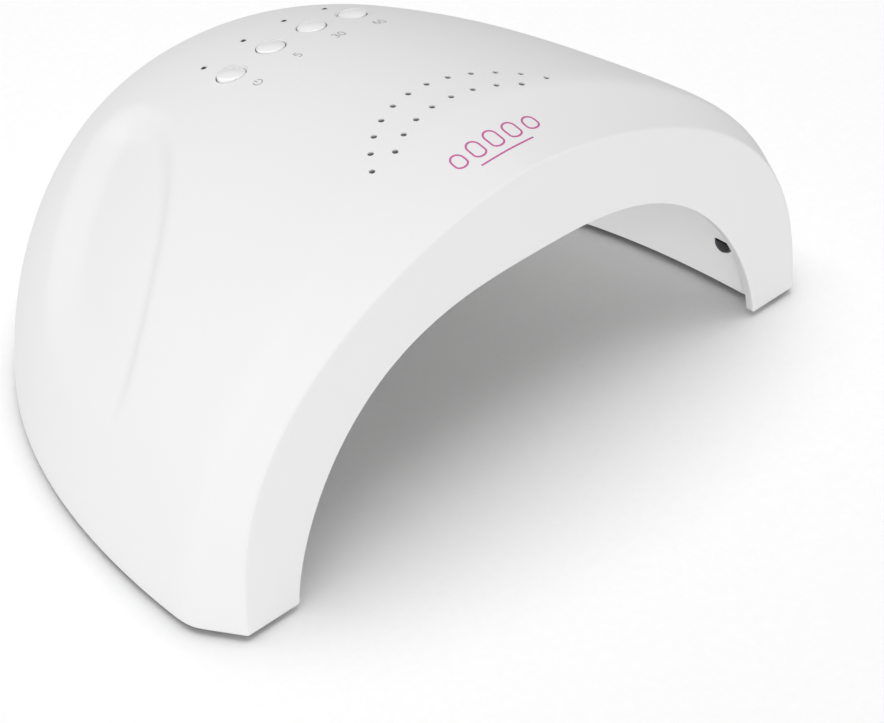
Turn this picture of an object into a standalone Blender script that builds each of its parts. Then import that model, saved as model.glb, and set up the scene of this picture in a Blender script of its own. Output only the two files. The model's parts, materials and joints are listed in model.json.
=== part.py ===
"""UV curing lamp: an arch-fronted dome with a reflector, LED strips, buttons and boards.

The lamp frame is x across, d back from the foot of the front face and z up from the body's lower
edge. World coordinates put the origin under the middle of the lamp, on the surface it stands on.
"""
import math

import bmesh
import bpy
from mathutils import Matrix, Vector

MM = 0.001

# Body
HALF_WIDTH = 108.9 * MM
DEPTH = 157.2 * MM
TOP_HEIGHT = 88.8 * MM
WALL = 2.2 * MM
FOOT_HEIGHT = 2.0 * MM
FIT = 0.35 * MM

# Front face: a plane leaning back, between an inner and an outer arch
FACE_LEAN = math.radians(4.1)
INNER_ARCH = (84.1 * MM, 59.1 * MM, 2.89, 1.56)
OUTER_ARCH = (100.9 * MM, 83.6 * MM, 1.65, 2.72)
LIP = 2.5 * MM

# Ridge between the visor band and the dome
RIDGE_FOOT = 12.6 * MM
RIDGE_SWEEP = 18.9 * MM

# Dome: side outline and top profile
SIDE_START = 5.2 * MM
SIDE_POWER = 2.18
TOP_START = 36.0 * MM
TOP_POWER = 2.64
TOP_ROUND = 2.71
TOP_DROP = 1.8
DOME_CENTRE = 60.0 * MM

# Side pockets, as seen from the side: an arched edge and a valley
POCKET_CENTRE = (91.0 * MM, 33.5 * MM)
POCKET_RADIUS = 42.5 * MM
POCKET_EDGE = 4.5 * MM
POCKET_FLOOR = 38.0 * MM
VALLEY_TURN = 93.0 * MM
VALLEY_SLOPE = 1.25
VALLEY_WIDTH = 12.0 * MM
POCKET_DEPTH = 3.0 * MM

# Reflector
REFLECTOR_HALF = 89.0 * MM
REFLECTOR_TOP = 66.0 * MM
REFLECTOR_BACK = 134.0 * MM
REFLECTOR_START = 5.0 * MM
REFLECTOR_WALL = 1.5 * MM
REFLECTOR_FLANGE = 4.5 * MM

# Mesh density
ARCH_STEPS = 40
DOME_STEPS = 13
REFLECTOR_STEPS = 8

# Vents: (arc radius, arc centre, angle between holes, number of holes)
VENT_RADIUS = 0.75 * MM
VENT_ARCS = ((37.5 * MM, 7.4 * MM, math.radians(9.8), 12),
             (41.6 * MM, -5.2 * MM, math.radians(9.1), 8))

# Control panel: a flat board under the top, square to the push direction
PANEL_DEPTH = 87.9 * MM
PANEL_HEIGHT = 68.0 * MM
PANEL_TILT = math.radians(11.0)
BUTTON_X = (-21.1 * MM, -7.1 * MM, 7.1 * MM, 21.1 * MM)
BUTTON_NAMES = ("power", "short", "medium", "long")
BUTTON_RADIUS = 3.75 * MM
BUTTON_TRAVEL = 0.7 * MM
INDICATOR_BACK = 10.9 * MM
BOARD_THICK = 1.6 * MM
SWITCH_HEIGHT = 3.5 * MM
PLUNGER_HEIGHT = 1.5 * MM

# LED strips over the reflector
STRIP_DEPTHS = (27.0 * MM, 56.0 * MM, 84.0 * MM)
STRIP_NAMES = ("front", "middle", "rear")
STRIP_WIDTH = 9.0 * MM
STRIP_THICK = 1.0 * MM
STRIP_END = math.radians(17.0)
BEADS_PER_STRIP = 8
BEAD_RADIUS = 2.4 * MM

# Driver board over the reflector
DRIVER_HEIGHT = 70.3 * MM
DRIVER_DEPTH = (44.0 * MM, 76.0 * MM)
DRIVER_HALF = 32.0 * MM

# Infrared sensors and inlet
SENSOR_DEPTH = 15.1 * MM
SENSOR_HEIGHT = 13.9 * MM
SENSOR_RADIUS = 2.7 * MM
SENSOR_FLAT = 0.5 * MM
INLET_HEIGHT = 12.0 * MM

# Base
RING_BOTTOM = 0.3 * MM
RING_THICK = 2.0 * MM
RING_START = 0.01
RING_TAB = (90.9 * MM, 100.2 * MM, 4.8 * MM)
SCREW_INSET = 5.8 * MM
BOSS_RADIUS = 3.8 * MM
BOSS_TOP = 16.0 * MM
SCREW_TURNS = (0.10, 0.34, 0.66, 0.90)
FOOT_TURNS = (0.045, 0.27, 0.73, 0.955)
FOOT_RADIUS = 5.0 * MM

ORIGIN = Vector((0.0, -DEPTH / 2, FOOT_HEIGHT))
PANEL_AXIS = Vector((0.0, math.sin(PANEL_TILT), math.cos(PANEL_TILT)))


# ---------------------------------------------------------------- surfaces

def arch_value(x, s, arch):
    """Below zero inside an arch of (half width, apex, two powers), in the leaning front plane."""
    half, apex, power_x, power_s = arch
    return (abs(x) / half) ** power_x + (max(s, 0.0) / apex) ** power_s - 1.0


def side_half_width(d):
    t = (d - SIDE_START) / (DEPTH - SIDE_START)
    t = min(max(t, 0.0), 1.0)
    return HALF_WIDTH * max(1.0 - t ** SIDE_POWER, 1e-9) ** (1.0 / SIDE_POWER)


def top_profile(d):
    t = (d - TOP_START) / (DEPTH - TOP_START)
    t = min(max(t, 0.0), 1.0)
    ahead = max(TOP_START - d, 0.0)
    return TOP_HEIGHT * max(1.0 - t ** TOP_POWER, 1e-9) ** (1.0 / TOP_ROUND) - TOP_DROP * ahead * ahead


def section_power(d):
    t = min(max(d / DEPTH, 0.0), 1.0)
    return 2.2 - 0.9 * t * (1.0 - t)


def dome_value(point):
    """Below zero inside the dome."""
    x, d, z = point
    if d >= DEPTH:
        return 10.0 + d
    power = section_power(d)
    return (abs(x) / side_half_width(d)) ** power + (max(z, 0.0) / top_profile(d)) ** power - 1.0


def reflector_value(point):
    """Below zero inside the reflector's cavity."""
    x, d, z = point
    if d >= REFLECTOR_BACK:
        return 10.0 + d
    t = max(d - REFLECTOR_START, 0.0) / (REFLECTOR_BACK - REFLECTOR_START)
    half = REFLECTOR_HALF * max(1.0 - t ** 2.4, 1e-9) ** (1.0 / 2.4)
    top = REFLECTOR_TOP * max(1.0 - t ** 2.6, 1e-9) ** (1.0 / 2.6)
    return (abs(x) / half) ** 2.4 + (max(z, 0.0) / top) ** 2.2 - 1.0


def cast(value, start, direction):
    """The point where a ray from inside crosses a surface."""
    near, far = 0.0, 0.3
    for _ in range(40):
        middle = (near + far) / 2
        if value(start + direction * middle) < 0.0:
            near = middle
        else:
            far = middle
    return start + direction * near


def surface_normal(value, point):
    """Outward unit normal of an implicit surface."""
    step = 0.05 * MM
    slope = Vector()
    for axis in range(3):
        offset = Vector()
        offset[axis] = step
        slope[axis] = value(point + offset) - value(point - offset)
    return slope.normalized()


def smooth(t):
    t = min(max(t, 0.0), 1.0)
    return t * t * (3.0 - 2.0 * t)


def pocket_sink(d, z):
    """How far the side pocket sinks below the dome, by its place in the side view."""
    edge = POCKET_RADIUS - math.hypot(d - POCKET_CENTRE[0], z - POCKET_CENTRE[1])
    bend = 6.0 * MM
    rise = VALLEY_SLOPE * bend * math.log1p(math.exp((d - VALLEY_TURN) / bend))
    valley = (z - POCKET_FLOOR - rise) / math.hypot(1.0, VALLEY_SLOPE)
    deepen = 0.4 + 0.6 * smooth((d - 50.0 * MM) / (55.0 * MM))
    return POCKET_DEPTH * deepen * smooth(edge / POCKET_EDGE) * smooth(0.5 + valley / VALLEY_WIDTH)


def face_point(arch, angle, behind=0.0):
    """A point of an arch in a plane parallel to the front face, at a polar angle from its foot."""
    def value(p):
        return arch_value(p.x, p.z, arch)
    flat = cast(value, Vector(), Vector((math.cos(angle), 0.0, math.sin(angle))))
    return face_to_lamp(flat.x, flat.z, behind)


def face_to_lamp(x, s, behind=0.0):
    lean_sin, lean_cos = math.sin(FACE_LEAN), math.cos(FACE_LEAN)
    return Vector((x, s * lean_sin + behind, s * lean_cos))


def ridge_point(angle):
    """A point of the ridge, which runs over the dome and sweeps back towards the top."""
    x = HALF_WIDTH * math.cos(angle)
    for _ in range(6):
        d = RIDGE_FOOT + RIDGE_SWEEP * max(1.0 - (x / HALF_WIDTH) ** 2, 0.0) ** 3
        point = cast(dome_value, Vector((0.0, d, 0.0)), Vector((math.cos(angle), 0.0, math.sin(angle))))
        x = point.x
    return point


def sphere_blend(a, b, t):
    """A direction part of the way from a to b along the great circle."""
    turn = a.angle(b)
    if turn < 1e-6:
        return a.copy()
    return (a * math.sin((1.0 - t) * turn) + b * math.sin(t * turn)) / math.sin(turn)


def base_direction(angle):
    """Direction from the dome's centre to the base outline, from corner to corner round the back."""
    corner = math.atan2(DOME_CENTRE - RIDGE_FOOT, HALF_WIDTH)
    heading = -corner + (math.pi + 2.0 * corner) * angle / math.pi
    return Vector((math.cos(heading), math.sin(heading), 0.0))


def outline_point(turn, inset=0.0, z=0.0):
    """A point of the base outline; turn runs from 0 at the right corner to 1 at the left one."""
    centre = Vector((0.0, DOME_CENTRE, 0.0))
    point = cast(dome_value, centre, base_direction(turn * math.pi))
    normal = surface_normal(dome_value, point)
    normal.z = 0.0
    point -= normal.normalized() * inset
    point.z = z
    return point


# ---------------------------------------------------------------- scene helpers

def clear_scene():
    for item in list(bpy.data.objects):
        bpy.data.objects.remove(item, do_unlink=True)


def new_collection(name):
    collection = bpy.data.collections.new(name)
    bpy.context.scene.collection.children.link(collection)
    return collection


clear_scene()
PARTS = new_collection("uv_curing_lamp")
CUTTERS = new_collection("cutters")


def material(name, colour, roughness, metallic=0.0):
    made = bpy.data.materials.new(name)
    made.use_nodes = True
    shader = made.node_tree.nodes["Principled BSDF"]
    shader.inputs["Base Color"].default_value = (*colour, 1.0)
    shader.inputs["Roughness"].default_value = roughness
    shader.inputs["Metallic"].default_value = metallic
    return made


GLOSS_WHITE = material("gloss_white", (0.86, 0.86, 0.87), 0.12)
REFLECTOR_WHITE = material("reflector_white", (0.82, 0.82, 0.83), 0.18)
BASE_WHITE = material("base_white", (0.74, 0.74, 0.75), 0.4)
RUBBER = material("rubber", (0.05, 0.05, 0.05), 0.8)
STEEL = material("steel", (0.62, 0.62, 0.64), 0.3, 1.0)
BOARD_GREEN = material("board_green", (0.02, 0.16, 0.07), 0.4)
BOARD_WHITE = material("board_white", (0.8, 0.8, 0.78), 0.4)
DARK_PLASTIC = material("dark_plastic", (0.03, 0.03, 0.03), 0.35)
SENSOR_DARK = material("sensor_dark", (0.015, 0.012, 0.02), 0.1)
LIGHT_PIPE = material("light_pipe", (0.25, 0.25, 0.27), 0.1)
COPPER = material("copper", (0.72, 0.36, 0.2), 0.35, 1.0)
LEAD_RED = material("lead_red", (0.55, 0.03, 0.03), 0.45)
LEAD_BLACK = material("lead_black", (0.03, 0.03, 0.03), 0.45)


def add_object(name, mesh, matrix=None, surface=None, collection=None):
    """Link a mesh as an object; matrix is in the lamp frame."""
    item = bpy.data.objects.new(name, mesh)
    item.matrix_world = Matrix.Translation(ORIGIN) @ (matrix or Matrix())
    (collection or PARTS).objects.link(item)
    if surface:
        mesh.materials.append(surface)
    return item


def finish_mesh(name, bm, smooth_angle=None):
    mesh = bpy.data.meshes.new(name)
    bm.to_mesh(mesh)
    bm.free()
    if smooth_angle:
        mesh.shade_smooth()
        mesh.set_sharp_from_angle(angle=math.radians(smooth_angle))
    return mesh


def frame_at(point, axis, side=Vector((1.0, 0.0, 0.0))):
    """A placement whose Z is the given axis."""
    up = axis.normalized()
    back = up.cross(side).normalized()
    right = back.cross(up)
    matrix = Matrix((right, back, up)).transposed().to_4x4()
    matrix.translation = point
    return matrix


def loft_mesh(name, rows, smooth_angle=30):
    """An open grid through rows of points, with coincident corners merged."""
    bm = bmesh.new()
    grid = [[bm.verts.new(point) for point in row] for row in rows]
    for lower, upper in zip(grid, grid[1:]):
        for i in range(len(lower) - 1):
            bm.faces.new((lower[i], upper[i], upper[i + 1], lower[i + 1]))
    bmesh.ops.remove_doubles(bm, verts=bm.verts, dist=1e-6)
    bmesh.ops.dissolve_degenerate(bm, edges=bm.edges, dist=1e-7)
    return finish_mesh(name, bm, smooth_angle)


def solidify(item, thickness, offset):
    shell = item.modifiers.new("wall", "SOLIDIFY")
    shell.thickness = thickness
    shell.offset = offset
    shell.use_even_offset = True
    shell.use_quality_normals = True


def boolean(item, tool, operation):
    step = item.modifiers.new(operation.lower(), "BOOLEAN")
    step.operation = operation
    step.solver = "EXACT"
    step.object = tool


def turned_mesh(name, stages, segments=16, flat=None):
    """A round solid stacked along Z from (height, radius) stages, cut off flat at a height along Y."""
    bm = bmesh.new()
    rings = []
    for height, radius in stages:
        ring = bmesh.ops.create_circle(bm, segments=segments, radius=radius, cap_ends=False)["verts"]
        bmesh.ops.translate(bm, verts=ring, vec=(0.0, 0.0, height))
        rings.append(ring)
    for lower, upper in zip(rings, rings[1:]):
        for i in range(segments):
            j = (i + 1) % segments
            bm.faces.new((lower[i], lower[j], upper[j], upper[i]))
    bm.faces.new(list(reversed(rings[0])))
    bm.faces.new(rings[-1])
    bmesh.ops.recalc_face_normals(bm, faces=bm.faces)
    if flat is not None:
        for vert in bm.verts:
            vert.co.y = min(vert.co.y, flat)
    return finish_mesh(name, bm, 35)


def turned(name, stages, place, surface, segments=16, collection=None, flat=None):
    mesh = turned_mesh(name, stages, segments, flat)
    item = add_object(name, mesh, place, surface, collection)
    return item


def box_mesh(name, low, high, bevel=0.0):
    bm = bmesh.new()
    bmesh.ops.create_cube(bm, size=1.0)
    size = Vector(high) - Vector(low)
    middle = (Vector(high) + Vector(low)) / 2
    bmesh.ops.scale(bm, verts=bm.verts, vec=size)
    bmesh.ops.translate(bm, verts=bm.verts, vec=middle)
    if bevel:
        bmesh.ops.bevel(bm, geom=bm.edges, offset=bevel, segments=1, affect="EDGES")
    return finish_mesh(name, bm)


def box(name, low, high, place, surface, bevel=0.0, collection=None):
    return add_object(name, box_mesh(name, low, high, bevel), place, surface, collection)


def cylinders(name, places, stages, segments, flat=None):
    """One tool object made of several separate round solids."""
    bm = bmesh.new()
    single = turned_mesh(name, stages, segments, flat)
    for place in places:
        first = len(bm.verts)
        bm.from_mesh(single)
        bm.verts.ensure_lookup_table()
        bmesh.ops.transform(bm, matrix=place, verts=bm.verts[first:])
    bpy.data.meshes.remove(single)
    tool = add_object(name, finish_mesh(name, bm), collection=CUTTERS)
    hide_tool(tool)
    return tool


def hide_tool(tool):
    tool.hide_render = True
    tool.display_type = "WIRE"


def arch_angles(steps=ARCH_STEPS):
    return [math.pi * i / steps for i in range(steps + 1)]


# ---------------------------------------------------------------- outer shell

def dome_rows(steps):
    """Rows from the ridge, at the front, to the base outline round the back."""
    centre = Vector((0.0, DOME_CENTRE, 0.0))
    ridge = [ridge_point(angle) for angle in arch_angles()]
    rows = []
    for k in range(1, steps + 1):
        row = []
        for angle, start in zip(arch_angles(), ridge):
            ahead = (start - centre).normalized()
            point = cast(dome_value, centre, sphere_blend(ahead, base_direction(angle), k / steps))
            normal = surface_normal(dome_value, point)
            row.append(point - normal * pocket_sink(point.y, point.z))
        rows.append(row)
    return [ridge] + rows


def shell_rows():
    lip = [face_point(INNER_ARCH, angle, LIP) for angle in arch_angles()]
    inner = [face_point(INNER_ARCH, angle) for angle in arch_angles()]
    crease = [face_point(OUTER_ARCH, angle) for angle in arch_angles()]
    dome = dome_rows(DOME_STEPS)
    middle = [(a + b) / 2 for a, b in zip(crease, dome[0])]
    return [lip, inner, crease, middle] + dome


def vent_places():
    places = []
    for radius, centre, pitch, count in VENT_ARCS:
        for i in range(count):
            turn = (i - (count - 1) / 2) * pitch
            x, d = radius * math.sin(turn), centre + radius * math.cos(turn)
            places.append(Matrix.Translation((x, d, top_profile(d) - 12.0 * MM)))
    return places


def top_point(x, d):
    """The point of the dome's top above (x, d)."""
    return cast(dome_value, Vector((x, d, 0.0)), Vector((0.0, 0.0, 1.0)))


def panel_frame(x, back=0.0):
    """Placement on the control board's upper face, with Z along the push direction."""
    point = Vector((x, PANEL_DEPTH, PANEL_HEIGHT))
    point += Vector((0.0, math.cos(PANEL_TILT), -math.sin(PANEL_TILT))) * back
    return frame_at(point, PANEL_AXIS)


def height_over_panel(x, back=0.0):
    """Distance from the board's face up to the dome's surface, along the push direction."""
    start = panel_frame(x, back).translation
    return (cast(dome_value, start, PANEL_AXIS) - start).length


def screw_place(turn):
    return Matrix.Translation(outline_point(turn, SCREW_INSET))


BOARD_POSTS = ((-27.5 * MM, -7.0 * MM), (27.5 * MM, -7.0 * MM))


def build_outer_shell():
    shell = add_object("outer_shell", loft_mesh("outer_shell", shell_rows()), surface=GLOSS_WHITE)
    solidify(shell, WALL, -1.0)
    post = ((RING_BOTTOM + RING_THICK + FIT, BOSS_RADIUS), (BOSS_TOP, BOSS_RADIUS))
    posts = cylinders("shell_bosses", [screw_place(turn) for turn in SCREW_TURNS], post, 12)
    boolean(shell, posts, "UNION")
    for index, (x, back) in enumerate(BOARD_POSTS):
        top = height_over_panel(x, back) - 1.0 * MM
        stem = cylinders(f"board_post_{index + 1}", [panel_frame(x, back)],
                         ((FIT, 2.8 * MM), (top, 2.8 * MM)), 10)
        boolean(shell, stem, "UNION")
    boolean(shell, cylinders("vent_holes", vent_places(), ((0.0, VENT_RADIUS), (20.0 * MM, VENT_RADIUS)), 8),
            "DIFFERENCE")
    reach = ((6.0 * MM, BUTTON_RADIUS + 0.4 * MM), (30.0 * MM, BUTTON_RADIUS + 0.4 * MM))
    boolean(shell, cylinders("button_holes", [panel_frame(x) for x in BUTTON_X], reach, 16), "DIFFERENCE")
    reach = ((6.0 * MM, 0.85 * MM), (30.0 * MM, 0.85 * MM))
    places = [panel_frame(x, INDICATOR_BACK) for x in BUTTON_X]
    boolean(shell, cylinders("indicator_holes", places, reach, 8), "DIFFERENCE")
    pilot = ((0.0, 1.5 * MM), (12.0 * MM, 1.5 * MM))
    boolean(shell, cylinders("screw_pilots", [screw_place(turn) for turn in SCREW_TURNS], pilot, 8),
            "DIFFERENCE")
    places = [panel_frame(x, back) for x, back in BOARD_POSTS]
    boolean(shell, cylinders("post_pilots", places, ((-1.0 * MM, 1.3 * MM), (6.0 * MM, 1.3 * MM)), 8),
            "DIFFERENCE")
    inlet = frame_at(Vector((0.0, DEPTH - 12.0 * MM, INLET_HEIGHT)), Vector((0.0, 1.0, 0.0)))
    boolean(shell, cylinders("inlet_hole", [inlet], ((0.0, 4.6 * MM), (20.0 * MM, 4.6 * MM)), 16),
            "DIFFERENCE")
    return shell


# ---------------------------------------------------------------- reflector and LED strips

def reflector_front(angle, grow=0.0):
    """The reflector's front edge, in a plane just behind the shell's front band."""
    behind = WALL + FIT
    start = face_to_lamp(0.0, 0.0, behind)
    run = face_to_lamp(math.cos(angle), math.sin(angle)) - face_to_lamp(0.0, 0.0)
    return cast(reflector_value, start, run) + run * grow


def reflector_point(angle, t):
    """The cavity surface: t runs from 0 at the front edge to 1 on the base outline."""
    centre = Vector((0.0, DOME_CENTRE, 0.0))
    front = reflector_front(angle)
    ahead = (front - centre).normalized()
    corner = reflector_front(0.0)
    sink = math.atan2(DOME_CENTRE - corner.y, corner.x)
    heading = -sink + (math.pi + 2.0 * sink) * angle / math.pi
    base = Vector((math.cos(heading), math.sin(heading), 0.0))
    return cast(reflector_value, centre, sphere_blend(ahead, base, t))


def reflector_at(angle, d):
    """The cavity surface at a polar angle in the cross section at depth d, and its normal."""
    point = cast(reflector_value, Vector((0.0, d, 0.0)), Vector((math.cos(angle), 0.0, math.sin(angle))))
    return point, surface_normal(reflector_value, point)


def bead_angles():
    spread = math.pi - 2.0 * STRIP_END
    return [STRIP_END + spread * (i + 0.5) / BEADS_PER_STRIP for i in range(BEADS_PER_STRIP)]


def bead_places(d):
    places = []
    for angle in bead_angles():
        point, normal = reflector_at(angle, d)
        places.append(frame_at(point, -normal, Vector((0.0, 1.0, 0.0))))
    return places


def driver_posts():
    front, back = DRIVER_DEPTH
    return [(side * (DRIVER_HALF - 5.0 * MM), d)
            for side in (-1, 1) for d in (front + 3.4 * MM, back - 3.4 * MM)]


def sensor_place(side):
    """Placement on the cavity wall, with Z pointing into the cavity and Y upwards."""
    start = Vector((0.0, SENSOR_DEPTH, SENSOR_HEIGHT))
    point = cast(reflector_value, start, Vector((side, 0.0, 0.0)))
    return frame_at(point, Vector((-side, 0.0, 0.0)), Vector((0.0, -side, 0.0)))


def build_reflector():
    angles = arch_angles(36)
    rows = [[reflector_front(angle, REFLECTOR_FLANGE) for angle in angles],
            [reflector_front(angle) for angle in angles]]
    for k in range(1, REFLECTOR_STEPS + 1):
        rows.append([reflector_point(angle, k / REFLECTOR_STEPS) for angle in angles])
    reflector = add_object("reflector", loft_mesh("reflector", rows), surface=REFLECTOR_WHITE)
    solidify(reflector, REFLECTOR_WALL, 1.0)
    posts = []
    for index, (x, d) in enumerate(driver_posts()):
        foot = cast(reflector_value, Vector((x, d, 0.0)), Vector((0.0, 0.0, 1.0))).z + 1.0 * MM
        posts.append(cylinders(f"driver_post_{index + 1}", [Matrix.Translation((x, d, foot))],
                               ((0.0, 2.6 * MM), (DRIVER_HEIGHT - FIT - foot, 2.6 * MM)), 10))
    for post in posts:
        boolean(reflector, post, "UNION")
    pilots = [Matrix.Translation((x, d, DRIVER_HEIGHT)) for x, d in driver_posts()]
    boolean(reflector, cylinders("driver_pilots", pilots, ((-4.6 * MM, 1.3 * MM), (1.0 * MM, 1.3 * MM)), 8),
            "DIFFERENCE")
    places = [place for d in STRIP_DEPTHS for place in bead_places(d)]
    hole = ((-4.0 * MM, BEAD_RADIUS + FIT), (4.0 * MM, BEAD_RADIUS + FIT))
    boolean(reflector, cylinders("bead_holes", places, hole, 8), "DIFFERENCE")
    hole = ((-4.0 * MM, SENSOR_RADIUS + FIT), (4.0 * MM, SENSOR_RADIUS + FIT))
    windows = [sensor_place(side) for side in (-1, 1)]
    boolean(reflector, cylinders("sensor_holes", windows, hole, 16, SENSOR_FLAT + FIT), "DIFFERENCE")


def build_strips():
    lift = REFLECTOR_WALL + 0.8 * MM
    for name, d in zip(STRIP_NAMES, STRIP_DEPTHS):
        rows = []
        for edge in (-0.5, 0.5):
            row = []
            for i in range(25):
                angle = STRIP_END + (math.pi - 2.0 * STRIP_END) * i / 24
                point, normal = reflector_at(angle, d + edge * STRIP_WIDTH)
                row.append(point + normal * lift)
            rows.append(row)
        strip = add_object(f"led_strip_{name}", loft_mesh(f"led_strip_{name}", rows), surface=BOARD_WHITE)
        solidify(strip, STRIP_THICK, 1.0)
        bead = ((-lift - 0.5 * MM, BEAD_RADIUS), (1.2 * MM, 0.8 * BEAD_RADIUS))
        boolean(strip, cylinders(f"beads_{name}", bead_places(d), bead, 6), "UNION")


# ---------------------------------------------------------------- base

def ring_row(turns, inset):
    return [outline_point(turn, inset, RING_BOTTOM) for turn in turns]


def reflector_base_point(angle, gap):
    point = reflector_point(angle, 1.0)
    normal = surface_normal(reflector_value, point)
    normal.z = 0.0
    point = point + normal.normalized() * gap
    point.z = RING_BOTTOM
    return point


def build_base_ring():
    steps = 32
    turns = [RING_START + (1.0 - 2.0 * RING_START) * i / steps for i in range(steps + 1)]
    outer = ring_row(turns, WALL + 2 * FIT)
    inner = [reflector_base_point(turn * math.pi, REFLECTOR_WALL + FIT) for turn in turns]
    clear = RIDGE_FOOT - 2.0 * MM
    for point in (inner[0], inner[-1]):
        point.y = max(point.y, clear)
    near, far, depth = RING_TAB
    inner = [Vector((near, depth, RING_BOTTOM))] + inner + [Vector((-near, depth, RING_BOTTOM))]
    outer = [Vector((far, depth, RING_BOTTOM))] + outer + [Vector((-far, depth, RING_BOTTOM))]
    ring = add_object("base_ring", loft_mesh("base_ring", (inner, outer)), surface=BASE_WHITE)
    solidify(ring, RING_THICK, 1.0)
    hole = ((-2.0 * MM, 1.6 * MM), (6.0 * MM, 1.6 * MM))
    boolean(ring, cylinders("ring_holes", [screw_place(turn) for turn in SCREW_TURNS], hole, 10), "DIFFERENCE")


def build_feet():
    pad = ((0.0, FOOT_RADIUS - 0.6 * MM), (0.6 * MM, FOOT_RADIUS), (FOOT_HEIGHT, FOOT_RADIUS))
    for index, turn in enumerate(FOOT_TURNS):
        spot = outline_point(turn, 9.4 * MM, -FOOT_HEIGHT)
        turned(f"foot_{index + 1}", pad, Matrix.Translation(spot), RUBBER, 14)


def screw_stages(head, shank, length):
    """A pan head below z = 0 and a shank above it."""
    return ((-1.5 * MM, 0.6 * head), (-1.1 * MM, head), (-0.01 * MM, head), (0.0, shank), (length, shank))


def build_base_screws():
    for index, turn in enumerate(SCREW_TURNS):
        place = screw_place(turn)
        turned(f"base_screw_{index + 1}", screw_stages(2.5 * MM, 1.15 * MM, 9.5 * MM), place, STEEL, 12)


# ---------------------------------------------------------------- control panel

def build_buttons():
    """Caps that slide along the push direction; each origin is on the board's face."""
    plunger_top = SWITCH_HEIGHT + PLUNGER_HEIGHT + FIT
    for name, x in zip(BUTTON_NAMES, BUTTON_X):
        top = height_over_panel(x)
        foot = plunger_top + BUTTON_TRAVEL + 0.1 * MM
        flange = top - 5.8 * MM
        cap = ((foot, 1.6 * MM), (flange - 1.0 * MM, 1.6 * MM), (flange - 0.99 * MM, BUTTON_RADIUS + 1.3 * MM),
               (flange, BUTTON_RADIUS + 1.3 * MM), (flange + 0.01 * MM, BUTTON_RADIUS),
               (top - 0.1 * MM, BUTTON_RADIUS), (top + 0.25 * MM, 0.9 * BUTTON_RADIUS),
               (top + 0.5 * MM, 0.65 * BUTTON_RADIUS), (top + 0.6 * MM, 0.3 * BUTTON_RADIUS))
        turned(f"button_{name}", cap, panel_frame(x), GLOSS_WHITE, 14)


def build_switches():
    for name, x in zip(BUTTON_NAMES, BUTTON_X):
        low, high = (-3.0 * MM, -3.0 * MM, FIT), (3.0 * MM, 3.0 * MM, FIT + SWITCH_HEIGHT)
        switch = box(f"tact_switch_{name}", low, high, panel_frame(x), DARK_PLASTIC, 0.3 * MM)
        plunger = cylinders(f"plunger_{name}", [panel_frame(x)],
                            ((2.0 * MM, 1.7 * MM), (FIT + SWITCH_HEIGHT + PLUNGER_HEIGHT, 1.7 * MM)), 12)
        boolean(switch, plunger, "UNION")


def build_indicators():
    for name, x in zip(BUTTON_NAMES, BUTTON_X):
        top = height_over_panel(x, INDICATOR_BACK)
        pipe = ((FIT, 1.5 * MM), (top - 4.5 * MM, 1.5 * MM), (top - 4.0 * MM, 0.5 * MM), (top - 0.1 * MM, 0.5 * MM))
        turned(f"indicator_pipe_{name}", pipe, panel_frame(x, INDICATOR_BACK), LIGHT_PIPE, 10)


def build_control_board():
    low, high = (-31.0 * MM, -10.5 * MM, -BOARD_THICK), (31.0 * MM, 13.0 * MM, 0.0)
    board = box("control_board", low, high, panel_frame(0.0), BOARD_GREEN)
    places = [panel_frame(x, back) for x, back in BOARD_POSTS]
    boolean(board, cylinders("control_holes", places, ((-4.0 * MM, 1.4 * MM), (2.0 * MM, 1.4 * MM)), 8),
            "DIFFERENCE")
    screw = screw_stages(2.2 * MM, 1.0 * MM, 4.5 * MM + BOARD_THICK)
    for index, (x, back) in enumerate(BOARD_POSTS):
        under = panel_frame(x, back) @ Matrix.Translation((0.0, 0.0, -BOARD_THICK - FIT))
        turned(f"control_screw_{index + 1}", screw, under, STEEL, 10)


# ---------------------------------------------------------------- driver, sensors, inlet

def build_driver():
    front, back = DRIVER_DEPTH
    middle = (front + back) / 2
    place = Matrix.Translation((0.0, middle, DRIVER_HEIGHT))
    reach = (back - front) / 2
    board = box("driver_board", (-DRIVER_HALF, -reach, 0.0), (DRIVER_HALF, reach, BOARD_THICK), place, BOARD_GREEN)
    holes = [Matrix.Translation((x, d, DRIVER_HEIGHT)) for x, d in driver_posts()]
    boolean(board, cylinders("driver_holes", holes, ((-2.0 * MM, 1.4 * MM), (4.0 * MM, 1.4 * MM)), 8), "DIFFERENCE")
    top = DRIVER_HEIGHT + BOARD_THICK + FIT
    flip = Matrix.Rotation(math.pi, 4, "X")
    screw = screw_stages(2.2 * MM, 1.0 * MM, 5.0 * MM)
    for index, (x, d) in enumerate(driver_posts()):
        turned(f"driver_screw_{index + 1}", screw, Matrix.Translation((x, d, top)) @ flip, STEEL, 10)
    coil = ((0.0, 6.0 * MM), (0.9 * MM, 6.0 * MM), (1.5 * MM, 4.6 * MM), (5.0 * MM, 4.6 * MM),
            (5.6 * MM, 6.0 * MM), (6.5 * MM, 6.0 * MM))
    turned("driver_inductor", coil, Matrix.Translation((-13.0 * MM, middle, top)), COPPER, 16)
    can = ((0.0, 3.7 * MM), (0.5 * MM, 4.0 * MM), (9.0 * MM, 4.0 * MM), (9.5 * MM, 3.6 * MM))
    turned("driver_capacitor", can, Matrix.Translation((4.0 * MM, middle - 4.0 * MM, top)), DARK_PLASTIC, 16)
    box("driver_connector", (14.0 * MM, 4.0 * MM, 0.0), (24.0 * MM, 10.0 * MM, 6.0 * MM),
        Matrix.Translation((0.0, middle, top)), BOARD_WHITE, 0.4 * MM)


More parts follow.
